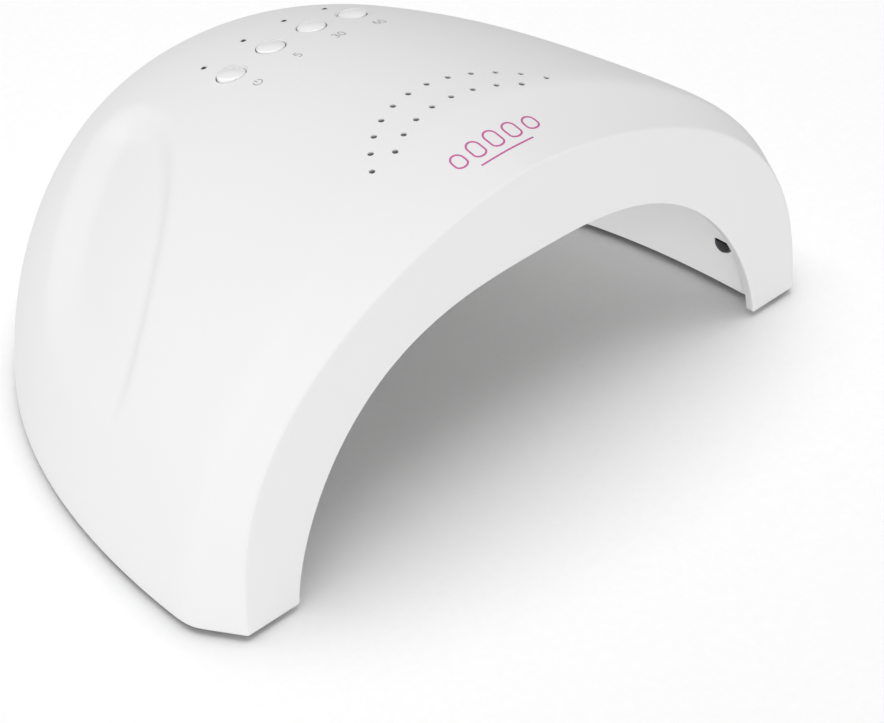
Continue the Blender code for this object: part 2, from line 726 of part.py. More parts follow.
def build_sensors():
    for side, name in ((-1, "emitter"), (1, "receiver")):
        place = sensor_place(side)
        window = ((-3.4 * MM, SENSOR_RADIUS + 1.0 * MM), (-2.6 * MM, SENSOR_RADIUS + 1.0 * MM),
                  (-2.59 * MM, SENSOR_RADIUS), (0.4 * MM, SENSOR_RADIUS), (0.9 * MM, 0.6 * SENSOR_RADIUS))
        turned(f"ir_{name}_window", window, place, SENSOR_DARK, 16, flat=SENSOR_FLAT)
        box(f"ir_{name}_board", (-5.5 * MM, -5.5 * MM, -5.2 * MM), (5.5 * MM, 5.5 * MM, -3.7 * MM),
            place, BOARD_GREEN)


def build_inlet():
    """A barrel inlet facing the rear; its bore takes a round plug."""
    mouth = frame_at(Vector((0.0, DEPTH - 2.0 * MM, INLET_HEIGHT)), Vector((0.0, 1.0, 0.0)))
    barrel = ((-9.0 * MM, 4.2 * MM), (0.0, 4.2 * MM))
    socket = turned("dc_inlet", barrel, mouth, DARK_PLASTIC, 20)
    block = add_object("inlet_block", box_mesh("inlet_block", (-5.2 * MM, -5.6 * MM, -15.0 * MM),
                                               (5.2 * MM, 5.2 * MM, -6.0 * MM), 0.3 * MM),
                       mouth, collection=CUTTERS)
    hide_tool(block)
    boolean(socket, block, "UNION")
    bore = cylinders("inlet_bore", [mouth], ((-11.0 * MM, 2.8 * MM), (2.0 * MM, 2.8 * MM)), 16)
    boolean(socket, bore, "DIFFERENCE")
    pin = ((-10.7 * MM, 1.05 * MM), (-1.6 * MM, 1.05 * MM), (-1.0 * MM, 0.6 * MM))
    turned("dc_inlet_pin", pin, mouth, STEEL, 12)


# ---------------------------------------------------------------- leads

def lead(name, stops, surface, radius=0.7 * MM):
    """A round lead along a smooth curve through the given stops."""
    curve = bpy.data.curves.new(name, "CURVE")
    curve.dimensions = "3D"
    curve.bevel_depth = radius
    curve.bevel_resolution = 1
    curve.use_fill_caps = True
    points = smooth_path([Vector(stop) for stop in stops], 3)
    spline = curve.splines.new("POLY")
    spline.points.add(len(points) - 1)
    for point, place in zip(spline.points, points):
        point.co = (*(place + ORIGIN), 1.0)
    item = bpy.data.objects.new(name, curve)
    curve.materials.append(surface)
    PARTS.objects.link(item)


def smooth_path(stops, steps):
    """Points along a Catmull-Rom curve through the stops."""
    padded = [2 * stops[0] - stops[1]] + stops + [2 * stops[-1] - stops[-2]]
    points = []
    for a, b, c, d in zip(padded, padded[1:], padded[2:], padded[3:]):
        for i in range(steps):
            t = i / steps
            points.append(0.5 * (2 * b + (c - a) * t + (2 * a - 5 * b + 4 * c - d) * t ** 2
                                 + (3 * b - a - 3 * c + d) * t ** 3))
    return points + [stops[-1]]


def build_leads():
    end = DRIVER_HEIGHT + BOARD_THICK + 1.4 * MM
    back = DRIVER_DEPTH[1]
    start = DEPTH - 18.3 * MM
    for name, x, surface in (("red", 2.2 * MM, LEAD_RED), ("black", -2.2 * MM, LEAD_BLACK)):
        side = math.copysign(1.0, x)
        stops = ((x, start, INLET_HEIGHT), (side * 5 * MM, start - 1.5 * MM, 17 * MM),
                 (side * 12 * MM, 139 * MM, 32 * MM), (side * 26 * MM, 126 * MM, 46 * MM),
                 (side * 35 * MM, 108 * MM, 59 * MM), (side * 36.5 * MM, 92 * MM, 68 * MM),
                 (side * 32 * MM, 80 * MM, 73.5 * MM), (side * 24 * MM, 77.5 * MM, 75.0 * MM),
                 (side * 20 * MM, back - 1.5 * MM, end))
        lead(f"dc_lead_{name}", stops, surface)
    middle = sum(DRIVER_DEPTH) / 2
    lead("control_lead", ((19 * MM, middle + 11.0 * MM, 76.5 * MM), (18 * MM, middle + 14 * MM, 76.8 * MM),
                          (16 * MM, 77 * MM, 77 * MM), (14.2 * MM, 81.2 * MM, 74.0 * MM),
                          (14.2 * MM, 82.2 * MM, 71.6 * MM)), LEAD_BLACK)
    for side, name in ((-1, "emitter"), (1, "receiver")):
        x = sensor_place(side).translation.x + side * 6.0 * MM
        stops = ((x, SENSOR_DEPTH + 1.0 * MM, SENSOR_HEIGHT + 2.0 * MM),
                 (x + side * 2.5 * MM, SENSOR_DEPTH + 6.0 * MM, 20 * MM),
                 (side * 92.0 * MM, 33 * MM, 34 * MM), (side * 80.0 * MM, 42 * MM, 52 * MM),
                 (side * 60.0 * MM, 42 * MM, 67 * MM), (side * 42.0 * MM, 44 * MM, 75 * MM),
                 (side * 30.0 * MM, 50 * MM, 77 * MM), (side * 24.0 * MM, 58 * MM, 75.5 * MM),
                 (side * 22.0 * MM, 59 * MM, end))
        lead(f"{name}_lead", stops, LEAD_BLACK)


def build_lamp():
    build_outer_shell()
    build_reflector()
    build_strips()
    build_base_ring()
    build_feet()
    build_base_screws()
    build_buttons()
    build_switches()
    build_indicators()
    build_control_board()
    build_driver()
    build_sensors()
    build_inlet()
    build_leads()


build_lamp()
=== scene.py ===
"""Looks of the UV curing lamp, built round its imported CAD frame.

The lamp frame is x across, d back from the foot of the front face and z up from the body's lower
edge, in metres; ORIGIN takes it to the frame's own coordinates.
"""
import json
import math

import bmesh
import bpy
import numpy as np
from mathutils import Matrix, Vector
from mathutils.bvhtree import BVHTree
from mathutils.interpolate import poly_3d_calc

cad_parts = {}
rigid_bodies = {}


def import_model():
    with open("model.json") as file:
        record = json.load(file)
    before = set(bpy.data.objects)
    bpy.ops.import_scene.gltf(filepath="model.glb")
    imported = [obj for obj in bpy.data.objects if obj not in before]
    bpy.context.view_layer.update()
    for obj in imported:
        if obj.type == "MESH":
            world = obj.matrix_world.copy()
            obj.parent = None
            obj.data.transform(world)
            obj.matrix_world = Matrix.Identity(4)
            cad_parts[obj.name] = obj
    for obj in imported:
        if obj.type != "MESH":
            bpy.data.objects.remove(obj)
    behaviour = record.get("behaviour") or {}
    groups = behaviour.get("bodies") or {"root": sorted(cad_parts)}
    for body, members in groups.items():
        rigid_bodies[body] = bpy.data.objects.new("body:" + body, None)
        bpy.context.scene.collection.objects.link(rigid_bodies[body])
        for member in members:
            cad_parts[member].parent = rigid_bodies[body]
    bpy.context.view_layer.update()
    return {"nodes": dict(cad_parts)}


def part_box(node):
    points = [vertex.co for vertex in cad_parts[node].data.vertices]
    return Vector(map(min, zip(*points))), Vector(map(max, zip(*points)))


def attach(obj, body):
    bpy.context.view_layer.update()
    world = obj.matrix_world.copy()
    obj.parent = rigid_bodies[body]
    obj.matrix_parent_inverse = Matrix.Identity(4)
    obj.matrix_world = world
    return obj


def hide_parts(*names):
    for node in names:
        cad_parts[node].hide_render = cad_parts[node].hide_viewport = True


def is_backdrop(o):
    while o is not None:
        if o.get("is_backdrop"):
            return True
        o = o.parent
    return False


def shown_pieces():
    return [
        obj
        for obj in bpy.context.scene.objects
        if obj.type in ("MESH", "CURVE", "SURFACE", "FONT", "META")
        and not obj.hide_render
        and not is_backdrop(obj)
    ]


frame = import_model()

MM = 0.001
HOUSING = "housing"
TINY = 1e-9

# Sizes as in the CAD, but for a side pocket 1 mm deeper
HALF_WIDTH = 108.9 * MM
DEPTH = 157.2 * MM
TOP_HEIGHT = 88.8 * MM
WALL = 2.2 * MM
FIT = 0.35 * MM
FACE_LEAN = math.radians(4.1)
INNER_ARCH = (84.1 * MM, 59.1 * MM, 2.89, 1.56)
OUTER_ARCH = (100.9 * MM, 83.6 * MM, 1.65, 2.72)
LIP = 2.5 * MM
RIDGE_FOOT = 12.6 * MM
RIDGE_SWEEP = 18.9 * MM
SIDE_START = 5.2 * MM
SIDE_POWER = 2.18
TOP_START = 36.0 * MM
TOP_POWER = 2.64
TOP_ROUND = 2.71
TOP_DROP = 1.8
DOME_POWER = 2.2
DOME_POWER_DIP = 0.9
DOME_CENTRE = 60.0 * MM
POCKET_CENTRE = (91.0 * MM, 33.5 * MM)
POCKET_RADIUS = 42.5 * MM
POCKET_EDGE = 4.5 * MM
POCKET_FLOOR = 38.0 * MM
VALLEY_TURN = 93.0 * MM
VALLEY_SLOPE = 1.25
VALLEY_WIDTH = 12.0 * MM
VALLEY_BEND = 6.0 * MM
POCKET_DEPTH = 4.0 * MM
POCKET_DEEPENS = (50.0 * MM, 55.0 * MM)
REFLECTOR_HALF = 89.0 * MM
REFLECTOR_TOP = 66.0 * MM
REFLECTOR_BACK = 134.0 * MM
REFLECTOR_START = 5.0 * MM
REFLECTOR_WALL = 1.5 * MM
REFLECTOR_FLANGE = 4.5 * MM
REFLECTOR_SIDE_POWER = 2.4
REFLECTOR_TOP_POWER = 2.6
REFLECTOR_POWER = (2.4, 2.2)
VENT_RADIUS = 0.75 * MM
VENT_ARCS = ((37.5 * MM, 7.4 * MM, math.radians(9.8), 12),
             (41.6 * MM, -5.2 * MM, math.radians(9.1), 8))
PANEL_DEPTH = 87.9 * MM
PANEL_HEIGHT = 68.0 * MM
PANEL_TILT = math.radians(11.0)
BUTTON_X = (-21.1 * MM, -7.1 * MM, 7.1 * MM, 21.1 * MM)
BUTTON_NAMES = ("power", "short", "medium", "long")
BUTTON_RADIUS = 3.75 * MM
INDICATOR_BACK = 10.9 * MM
STRIP_DEPTHS = (27.0 * MM, 56.0 * MM, 84.0 * MM)
STRIP_NAMES = ("front", "middle", "rear")
STRIP_WIDTH = 9.0 * MM
STRIP_THICK = 1.0 * MM
STRIP_END = math.radians(17.0)
BEADS_PER_STRIP = 8
BEAD_RADIUS = 2.4 * MM
SENSOR_DEPTH = 15.1 * MM
SENSOR_HEIGHT = 13.9 * MM
SENSOR_RADIUS = 2.7 * MM
SENSOR_FLAT = 0.5 * MM
INLET_HEIGHT = 12.0 * MM
INLET_SINK = 2.0 * MM
RING_BOTTOM = 0.3 * MM
RING_THICK = 2.0 * MM
RING_START = 0.01
RING_TAB = (90.9 * MM, 100.2 * MM, 4.8 * MM)
SCREW_INSET = 5.8 * MM
SCREW_TURNS = (0.10, 0.34, 0.66, 0.90)

# Holes and their rims, in millimetres
VENT_RIM = 0.1
VENT_SLACK = 0.05
VENT_RELIEF = (0.5, 1.7)
BUTTON_GAP = 0.4
BUTTON_RIM = 0.25
DOT_RADIUS = 0.85
DOT_RIM = 0.12
INLET_HOLE = 4.6
INLET_RIM = 0.3
REFLECTOR_RIM = 0.3
REFLECTOR_HOLE_DEPTH = 4.0

# How meshes are made
BOOLEAN_SOLVER = "MANIFOLD"
RAY_REACH = 0.3
RAY_HALVINGS = 40

SHELL_LOW, SHELL_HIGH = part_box("outer_shell")
ORIGIN = np.array(((SHELL_LOW.x + SHELL_HIGH.x) / 2, SHELL_LOW.y, SHELL_LOW.z))
PANEL_AXIS = np.array((0.0, math.sin(PANEL_TILT), math.cos(PANEL_TILT)))

# Camera, about a point of the lamp frame
CAMERA_TARGET = np.array((-26.372, 9.769, 37.04)) * MM
CAMERA_AZIMUTH = math.radians(-44.961)
CAMERA_ELEVATION = math.radians(37.0)
CAMERA_DISTANCE = 0.71098
CAMERA_LENS = 117.82


def make_camera():
    a, e = CAMERA_AZIMUTH, CAMERA_ELEVATION
    back = Vector((math.sin(a) * math.cos(e), -math.cos(a) * math.cos(e), math.sin(e)))
    data = bpy.data.cameras.new("view_camera")
    data.sensor_width = 36.0
    data.lens = CAMERA_LENS
    data.clip_start, data.clip_end = 0.01, 20.0
    camera = bpy.data.objects.new("view_camera", data)
    camera.location = Vector(ORIGIN + CAMERA_TARGET) + back * CAMERA_DISTANCE
    camera.rotation_euler = (-back).to_track_quat("-Z", "Y").to_euler()
    bpy.context.scene.collection.objects.link(camera)
    bpy.context.scene.camera = camera


make_camera()


# ---------------- surfaces, on arrays of points

def unit(v):
    return v / np.linalg.norm(v, axis=-1, keepdims=True)


def taper(t, power, root):
    """From one at t = 0 to almost nothing at t = 1."""
    return np.maximum(1.0 - t ** power, TINY) ** (1.0 / root)


def side_half_width(d):
    t = np.clip((d - SIDE_START) / (DEPTH - SIDE_START), 0.0, 1.0)
    return HALF_WIDTH * taper(t, SIDE_POWER, SIDE_POWER)


def top_profile(d):
    t = np.clip((d - TOP_START) / (DEPTH - TOP_START), 0.0, 1.0)
    ahead = np.maximum(TOP_START - d, 0.0)
    return TOP_HEIGHT * taper(t, TOP_POWER, TOP_ROUND) - TOP_DROP * ahead ** 2


def dome_value(p):
    """Below zero inside the dome."""
    x, d, z = p[..., 0], p[..., 1], p[..., 2]
    t = np.clip(d / DEPTH, 0.0, 1.0)
    power = DOME_POWER - DOME_POWER_DIP * t * (1.0 - t)
    value = (np.abs(x) / side_half_width(d)) ** power + (np.maximum(z, 0.0) / top_profile(d)) ** power - 1.0
    return np.where(d >= DEPTH, 10.0 + d, value)


def reflector_value(p):
    """Below zero inside the reflector's cavity."""
    x, d, z = p[..., 0], p[..., 1], p[..., 2]
    t = np.clip((d - REFLECTOR_START) / (REFLECTOR_BACK - REFLECTOR_START), 0.0, 1.0)
    half = REFLECTOR_HALF * taper(t, REFLECTOR_SIDE_POWER, REFLECTOR_SIDE_POWER)
    top = REFLECTOR_TOP * taper(t, REFLECTOR_TOP_POWER, REFLECTOR_TOP_POWER)
    power_x, power_z = REFLECTOR_POWER
    value = (np.abs(x) / half) ** power_x + (np.maximum(z, 0.0) / top) ** power_z - 1.0
    return np.where(d >= REFLECTOR_BACK, 10.0 + d, value)


def arch_value(arch):
    """A function that is below zero inside the arch, in the front plane."""
    half, apex, power_x, power_s = arch

    def value(p):
        across, up = np.abs(p[..., 0]) / half, np.maximum(p[..., 2], 0.0) / apex
        return across ** power_x + up ** power_s - 1.0

    return value


def cast(value, start, direction):
    """Where rays from inside cross a surface."""
    start, direction = np.broadcast_arrays(np.asarray(start, float), np.asarray(direction, float))
    near = np.zeros(start.shape[:-1])
    far = near + RAY_REACH
    for _ in range(RAY_HALVINGS):
        middle = (near + far) / 2
        inside = value(start + direction * middle[..., None]) < 0.0
        near = np.where(inside, middle, near)
        far = np.where(inside, far, middle)
    return start + direction * near[..., None]


def normal_of(value, p):
    """The outward normal of a surface at points on it, from the value's slope."""
    slope = np.empty(p.shape)
    for axis in range(3):
        step = np.zeros(3)
        step[axis] = 0.05 * MM
        slope[..., axis] = value(p + step) - value(p - step)
    return unit(slope)


def smooth(t):
    t = np.clip(t, 0.0, 1.0)
    return t * t * (3.0 - 2.0 * t)


def pocket_sink(d, z):
    """How far the side pocket sinks below the dome, by its place in the side view."""
    edge = POCKET_RADIUS - np.hypot(d - POCKET_CENTRE[0], z - POCKET_CENTRE[1])
    rise = VALLEY_SLOPE * VALLEY_BEND * np.log1p(np.exp((d - VALLEY_TURN) / VALLEY_BEND))
    valley = (z - POCKET_FLOOR - rise) / math.hypot(1.0, VALLEY_SLOPE)
    start, run = POCKET_DEEPENS
    deepen = 0.4 + 0.6 * smooth((d - start) / run)
    return POCKET_DEPTH * deepen * smooth(edge / POCKET_EDGE) * smooth(0.5 + valley / VALLEY_WIDTH)


def polar(angles):
    """Directions in the cross section, from the right foot over the top to the left one."""
    return np.stack((np.cos(angles), np.zeros(len(angles)), np.sin(angles)), -1)


def face_to_lamp(flat, behind):
    """From (x, -, s) in the front plane to the lamp frame."""
    s = flat[..., 2]
    return np.stack((flat[..., 0], s * math.sin(FACE_LEAN) + behind, s * math.cos(FACE_LEAN)), -1)


def arch_points(arch, angles, grow, behind):
    """Points of an arch on the front plane, grown outward and moved back."""
    flat = cast(arch_value(arch), np.zeros(3), polar(angles))
    return face_to_lamp(flat + polar(angles) * grow, behind)


def ridge_points(angles):
    """The ridge behind the visor band, found by steps: its depth depends on how wide the dome is there."""
    x = HALF_WIDTH * np.cos(angles)
    for _ in range(6):
        d = RIDGE_FOOT + RIDGE_SWEEP * np.maximum(1.0 - (x / HALF_WIDTH) ** 2, 0.0) ** 3
        start = np.stack((np.zeros(len(d)), d, np.zeros(len(d))), -1)
        points = cast(dome_value, start, polar(angles))
        x = points[:, 0]
    return points


def foot_columns(count):
    """Angles of the columns, closer together by the two feet."""
    fine = np.array((0.0, 0.0011, 0.0026, 0.0048, 0.0078))
    start = 0.0125
    return np.concatenate((fine, np.linspace(start, math.pi - start, count), math.pi - fine[::-1]))


def slices(value, ridge, angles, depth, shares):
    """Rows of points from a front row to the back, each column in planes of equal depth."""
    d = ridge[None, :, 1] + (depth - ridge[None, :, 1]) * shares[:, None]
    start = np.stack((np.zeros(d.shape), d, np.zeros(d.shape)), -1)
    return cast(value, start, polar(angles)[None])


def span(a, b, near, far, count):
    """Rows between rows a and b: some at set distances from each end, and count evenly between."""
    length = np.linalg.norm(b - a, axis=-1, keepdims=True)
    along = (b - a) / length
    rows = [a + along * step * MM for step in near]
    first, last = near[-1] * MM, far[0] * MM
    for k in range(1, count + 1):
        rows.append(a + along * (first + (length - first - last) * k / (count + 1)))
    rows += [b - along * step * MM for step in far]
    return rows


def soften(grid, middle, reach, passes):
    """Round the fold at one row by averaging along the columns near it."""
    strength = 0.7
    share = np.clip(1.0 - np.abs(np.arange(len(grid)) - middle) / reach, 0.0, 1.0)
    share = (smooth(share) * strength)[:, None, None]
    for _ in range(passes):
        mean = (np.roll(grid, 1, 0) + np.roll(grid, -1, 0)) / 2
        grid = grid + (mean - grid) * share
    return grid


def grid_normals(grid):
    across = np.gradient(grid, axis=1)
    along = np.gradient(grid, axis=0)
    return unit(np.cross(along, across) + 1e-15)


# ---------------- mesh helpers

def linked(name, data):
    """A new object, linked to the scene."""
    item = bpy.data.objects.new(name, data)
    bpy.context.scene.collection.objects.link(item)
    return item


def new_piece(name, mesh, material, replaces=(), body=HOUSING):
    """Link a mesh, made in the lamp frame, as a piece that rides on a body."""
    mesh.transform(Matrix.Translation(Vector(ORIGIN)))
    item = linked(name, mesh)
    mesh.materials.append(material)
    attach(item, body)
    if replaces:
        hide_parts(*replaces)


def mesh_of(name, verts, faces, merge=1e-7):
    """A mesh whose equal points are merged and whose faces point out."""
    mesh = bpy.data.meshes.new(name)
    mesh.from_pydata(np.asarray(verts).reshape(-1, 3).tolist(), [], [list(f) for f in faces])
    bm = bmesh.new()
    bm.from_mesh(mesh)
    bmesh.ops.remove_doubles(bm, verts=bm.verts, dist=merge)
    bmesh.ops.dissolve_degenerate(bm, edges=bm.edges, dist=merge)
    bmesh.ops.recalc_face_normals(bm, faces=bm.faces)
    bm.to_mesh(mesh)
    bm.free()
    return mesh


def shade(mesh, angle=35.0):
    mesh.shade_smooth()
    mesh.set_sharp_from_angle(angle=math.radians(angle))
    return mesh


def grid_faces(rows, columns, offset=0, flip=False):
    """Quads between the points of a grid whose first point has the number offset."""
    r, c = np.meshgrid(np.arange(rows - 1), np.arange(columns - 1), indexing="ij")
    a = offset + r * columns + c
    quads = np.stack((a, a + columns, a + columns + 1, a + 1), -1).reshape(-1, 4)
    return quads[:, ::-1] if flip else quads


def closed_pair(name, outer, inner):
    """A closed wall between two grids of the same size, joined along their open edges.

    A last row that runs together in one point needs no joint.
    """
    rows, columns = outer.shape[:2]
    count = rows * columns
    faces = [grid_faces(rows, columns), grid_faces(rows, columns, count, True)]
    index = np.arange(count).reshape(rows, columns)
    edges = [index[0], index[:, -1], index[::-1, 0]]
    if np.ptp(outer[-1], axis=0).max() > TINY:
        edges.append(index[-1][::-1])
    for line in edges:
        faces.append(np.stack((line[:-1], line[1:], line[1:] + count, line[:-1] + count), -1))
    verts = np.concatenate((outer.reshape(-1, 3), inner.reshape(-1, 3)))
    return mesh_of(name, verts, np.concatenate(faces))


def frame_at(point, axis, side=(1.0, 0.0, 0.0)):
    """A placement whose Z is the given axis."""
    up = Vector(axis).normalized()
    back = up.cross(Vector(side)).normalized()
    right = back.cross(up)
    matrix = Matrix((right, back, up)).transposed().to_4x4()
    matrix.translation = Vector(point)
    return matrix


def turned_mesh(name, stages, places, segments, flat=None):
    """Round solids stacked along Z from (height, radius) stages in millimetres, one at each place.

    Where flat is given, they are cut off at that height along Y.
    """
    turn = np.arange(segments) * 2 * math.pi / segments
    ring = np.stack((np.cos(turn), np.sin(turn), np.zeros(segments)), -1)
    rings = [ring * (radius, radius, 0) + (0, 0, height) for height, radius in stages]
    base = np.concatenate(rings) * MM
    if flat is not None:
        base[:, 1] = np.minimum(base[:, 1], flat * MM)
    index = np.arange(segments)
    turned_on = (index + 1) % segments
    faces = []
    for k in range(len(stages) - 1):
        low, high = k * segments, (k + 1) * segments
        faces += np.stack((low + index, low + turned_on, high + turned_on, high + index), -1).tolist()
    faces.append(index[::-1].tolist())
    faces.append(((len(stages) - 1) * segments + index).tolist())
    verts, every = [], []
    for n, place in enumerate(places):
        m = np.array(place)
        verts.append(base @ m[:3, :3].T + m[:3, 3])
        every += [[i + n * len(base) for i in face] for face in faces]
    return mesh_of(name, np.concatenate(verts), every)


def rounded(points, radius, steps=5):
    """A (height, radius) profile in millimetres with its inner corners rounded."""
    made = [points[0]]
    for a, b, c in zip(points, points[1:], points[2:]):
        a, b, c = (np.array(p, float) for p in (a, b, c))
        before, after = a - b, c - b
        reach = min(radius, 0.45 * np.linalg.norm(before), 0.45 * np.linalg.norm(after))
        start = b + before / np.linalg.norm(before) * reach
        end = b + after / np.linalg.norm(after) * reach
        for k in range(steps + 1):
            t = k / steps
            made.append(tuple((1 - t) ** 2 * start + 2 * t * (1 - t) * b + t * t * end))
    return made + [points[-1]]


def carve(mesh, tools, operation="DIFFERENCE"):
    """The mesh with the tool meshes cut from it, or joined to it."""
    item = linked("carved", mesh)
    extra = [item]
    for tool in tools:
        other = linked("tool", tool)
        step = item.modifiers.new("cut", "BOOLEAN")
        step.operation, step.solver, step.object = operation, BOOLEAN_SOLVER, other
        extra.append(other)
    made = bpy.data.meshes.new_from_object(item.evaluated_get(bpy.context.evaluated_depsgraph_get()))
    for other in extra:
        data = other.data
        bpy.data.objects.remove(other)
        bpy.data.meshes.remove(data)
    made.name = "carved"
    return made


class Surface:
    """A smooth surface to project on and to take shading normals from."""

    def __init__(self, grid):
        rows, columns = grid.shape[:2]
        self.points = grid.reshape(-1, 3)
        self.normals = grid_normals(grid).reshape(-1, 3)
        self.faces = grid_faces(rows, columns)
        self.tree = BVHTree.FromPolygons(self.points.tolist(), self.faces.tolist())

    def blend(self, face, point):
        corners = self.faces[face]
        weights = poly_3d_calc([Vector(self.points[i]) for i in corners], point)
        normal = sum((self.normals[i] * w for i, w in zip(corners, weights)), np.zeros(3))
        return Vector(normal).normalized()

    def nearest(self, point):
        where, _, face, distance = self.tree.find_nearest(point)
        return where, self.blend(face, where), distance

    def along(self, start, direction):
        where, _, face, _ = self.tree.ray_cast(start, direction)
        return where, self.blend(face, where)


def keep_shading(mesh, surface, places, reach):
    """Near the cut holes, take the shading normals of the surface from before the cut."""
    farthest, least_cosine = 0.02 * MM, 0.9
    shade(mesh)
    normals = np.empty(len(mesh.loops) * 3, np.float32)
    mesh.corner_normals.foreach_get("vector", normals)
    normals = normals.reshape(-1, 3)
    verts = np.empty(len(mesh.vertices) * 3)
    mesh.vertices.foreach_get("co", verts)
    verts = verts.reshape(-1, 3)
    near = np.zeros(len(verts), bool)
    for place in places:
        near |= np.linalg.norm(verts - np.array(place.translation), axis=1) < reach
    corner = np.empty(len(mesh.loops), np.int32)
    mesh.loops.foreach_get("vertex_index", corner)
    owner = np.repeat(np.arange(len(mesh.polygons)), [p.loop_total for p in mesh.polygons])
    for loop in np.nonzero(near[corner])[0]:
        face = mesh.polygons[int(owner[loop])]
        point = Vector(verts[corner[loop]])
        _, normal, distance = surface.nearest(point)
        if distance < farthest and face.normal.dot(normal) > least_cosine:
            normals[loop] = normal
    mesh.normals_split_custom_set(normals.tolist())


# ---------------- materials

NOISE_RANGE = (0.3, 0.7)


class Nodes:
    """Short calls for building a material's node tree on Object coordinates."""

    def __init__(self, name):
        self.material = bpy.data.materials.new(name)
        self.material.use_nodes = True
        self.tree = self.material.node_tree
        self.shader = self.tree.nodes["Principled BSDF"]
        self.coords = self.tree.nodes.new("ShaderNodeTexCoord").outputs["Object"]

    def add(self, kind, inputs=(), **settings):
        node = self.tree.nodes.new(kind)
        for key, value in settings.items():
            setattr(node, key, value)
        for key, value in dict(inputs).items():
            self.put(node.inputs[key], value)
        return node

    def put(self, socket, value):
        if isinstance(value, bpy.types.NodeSocket):
            self.tree.links.new(value, socket)
        else:
            socket.default_value = value

    def set(self, **values):
        for key, value in values.items():
            self.put(self.shader.inputs[key.replace("_", " ")], value)

    def noise(self, scale, detail=3.0, rough=0.55, stretch=(1, 1, 1), distortion=0.0):
        place = self.add("ShaderNodeMapping", {"Vector": self.coords, "Scale": stretch})
        return self.add("ShaderNodeTexNoise", {"Vector": place.outputs[0], "Scale": scale, "Detail": detail,
                                               "Roughness": rough, "Distortion": distortion}).outputs["Fac"]

    def spread(self, value, low, high):
        """The middle of a noise's range taken to low..high."""
        start, end = NOISE_RANGE
        node = self.add("ShaderNodeMapRange", {"Value": value, "From Min": start, "From Max": end,
                                               "To Min": low, "To Max": high})
        return node.outputs["Result"]

    def tint(self, value, dark, light, start=NOISE_RANGE[0], end=NOISE_RANGE[1]):
        """Dark up to start, light from end on, and mixed between."""
        ramp = self.add("ShaderNodeValToRGB", {"Fac": value})
        ramp.color_ramp.elements[0].position, ramp.color_ramp.elements[1].position = start, end
        ramp.color_ramp.elements[0].color = (*dark, 1.0)
        ramp.color_ramp.elements[1].color = (*light, 1.0)
        return ramp.outputs["Color"]

    def height(self, value, strength, distance):
        node = self.add("ShaderNodeBump", {"Height": value, "Strength": strength, "Distance": distance})
        return node.outputs["Normal"]

    def math(self, operation, *values):
        node = self.tree.nodes.new("ShaderNodeMath")
        node.operation = operation
        for socket, value in zip(node.inputs, values):
            self.put(socket, value)
        return node.outputs[0]


def shift(colour, amount):
    return tuple(min(max(c * amount, 0.0), 1.0) for c in colour)


def gloss_plastic(name, colour, rough=(0.27, 0.35), coat=0.12, grain=0.06):
    """Moulded glossy plastic: faint colour drift, handling smudges in the gloss, and orange peel."""
    n = Nodes(name)
    drift = n.noise(18.0, 4.0)
    smudge = n.noise(75.0, 5.0, 0.6, (1.0, 1.0, 0.6), 0.6)
    peel = n.noise(900.0, 2.0)
    speck = n.noise(4200.0, 1.0)
    n.set(Base_Color=n.tint(drift, shift(colour, 0.985), colour), Roughness=n.spread(smudge, *rough),
          Specular_IOR_Level=0.5, Coat_Weight=coat, Coat_Roughness=0.15,
          Normal=n.height(n.math("ADD", peel, n.math("MULTIPLY", speck, 0.3)), grain, 0.00006))
    return n.material


def satin_plastic(name, colour, rough=(0.38, 0.5), grain=0.25, scale=2600.0):
    """Moulded plastic with a fine spark-eroded texture."""
    n = Nodes(name)
    drift = n.noise(25.0, 4.0)
    texture = n.noise(scale, 3.0, 0.65)
    scuff = n.noise(140.0, 5.0, 0.7, (1.0, 0.25, 1.0), 1.0)
    n.set(Base_Color=n.tint(drift, shift(colour, 0.94), shift(colour, 1.04)),
          Roughness=n.spread(scuff, *rough), Normal=n.height(texture, grain, 0.00008))
    return n.material


def rubber(name, colour):
    n = Nodes(name)
    dust = n.noise(260.0, 5.0, 0.7)
    texture = n.noise(3200.0, 4.0, 0.7)
    n.set(Base_Color=n.tint(dust, colour, shift(colour, 2.2), 0.45, 0.8),
          Roughness=n.spread(dust, 0.62, 0.85), Specular_IOR_Level=0.35,
          Normal=n.height(texture, 0.45, 0.0001))
    return n.material


def metal(name, colour, rough=(0.22, 0.38), stretch=(1.0, 1.0, 1.0), scale=700.0):
    n = Nodes(name)
    scratch = n.noise(scale, 5.0, 0.7, stretch, 0.4)
    stain = n.noise(160.0, 4.0)
    n.set(Base_Color=n.tint(stain, shift(colour, 0.86), colour), Metallic=1.0,
          Roughness=n.spread(scratch, *rough), Normal=n.height(scratch, 0.18, 0.00005))
    return n.material


def board_green(name):
    """Solder mask with faint copper tracks under it."""
    n = Nodes(name)
    tracks = n.add("ShaderNodeTexBrick", {"Vector": n.coords, "Scale": 260.0, "Mortar Size": 0.05,
                                          "Color1": (0.012, 0.13, 0.05, 1), "Color2": (0.014, 0.16, 0.06, 1),
                                          "Mortar": (0.03, 0.26, 0.1, 1)})
    weave = n.noise(1400.0, 3.0, 0.6)
    n.set(Base_Color=tracks.outputs["Color"], Roughness=n.spread(weave, 0.22, 0.36), Coat_Weight=0.4,
          Coat_Roughness=0.1, Normal=n.height(n.math("ADD", tracks.outputs["Fac"], weave), 0.2, 0.00005))
    return n.material


def ink(name, colour):
    """Pad-printed ink: slightly uneven cover and a soft sheen."""
    n = Nodes(name)
    cover = n.noise(1600.0, 4.0, 0.7)
    n.set(Base_Color=n.tint(cover, shift(colour, 0.85), shift(colour, 1.1)),
          Roughness=n.spread(cover, 0.3, 0.5), Normal=n.height(cover, 0.15, 0.00003))
    return n.material


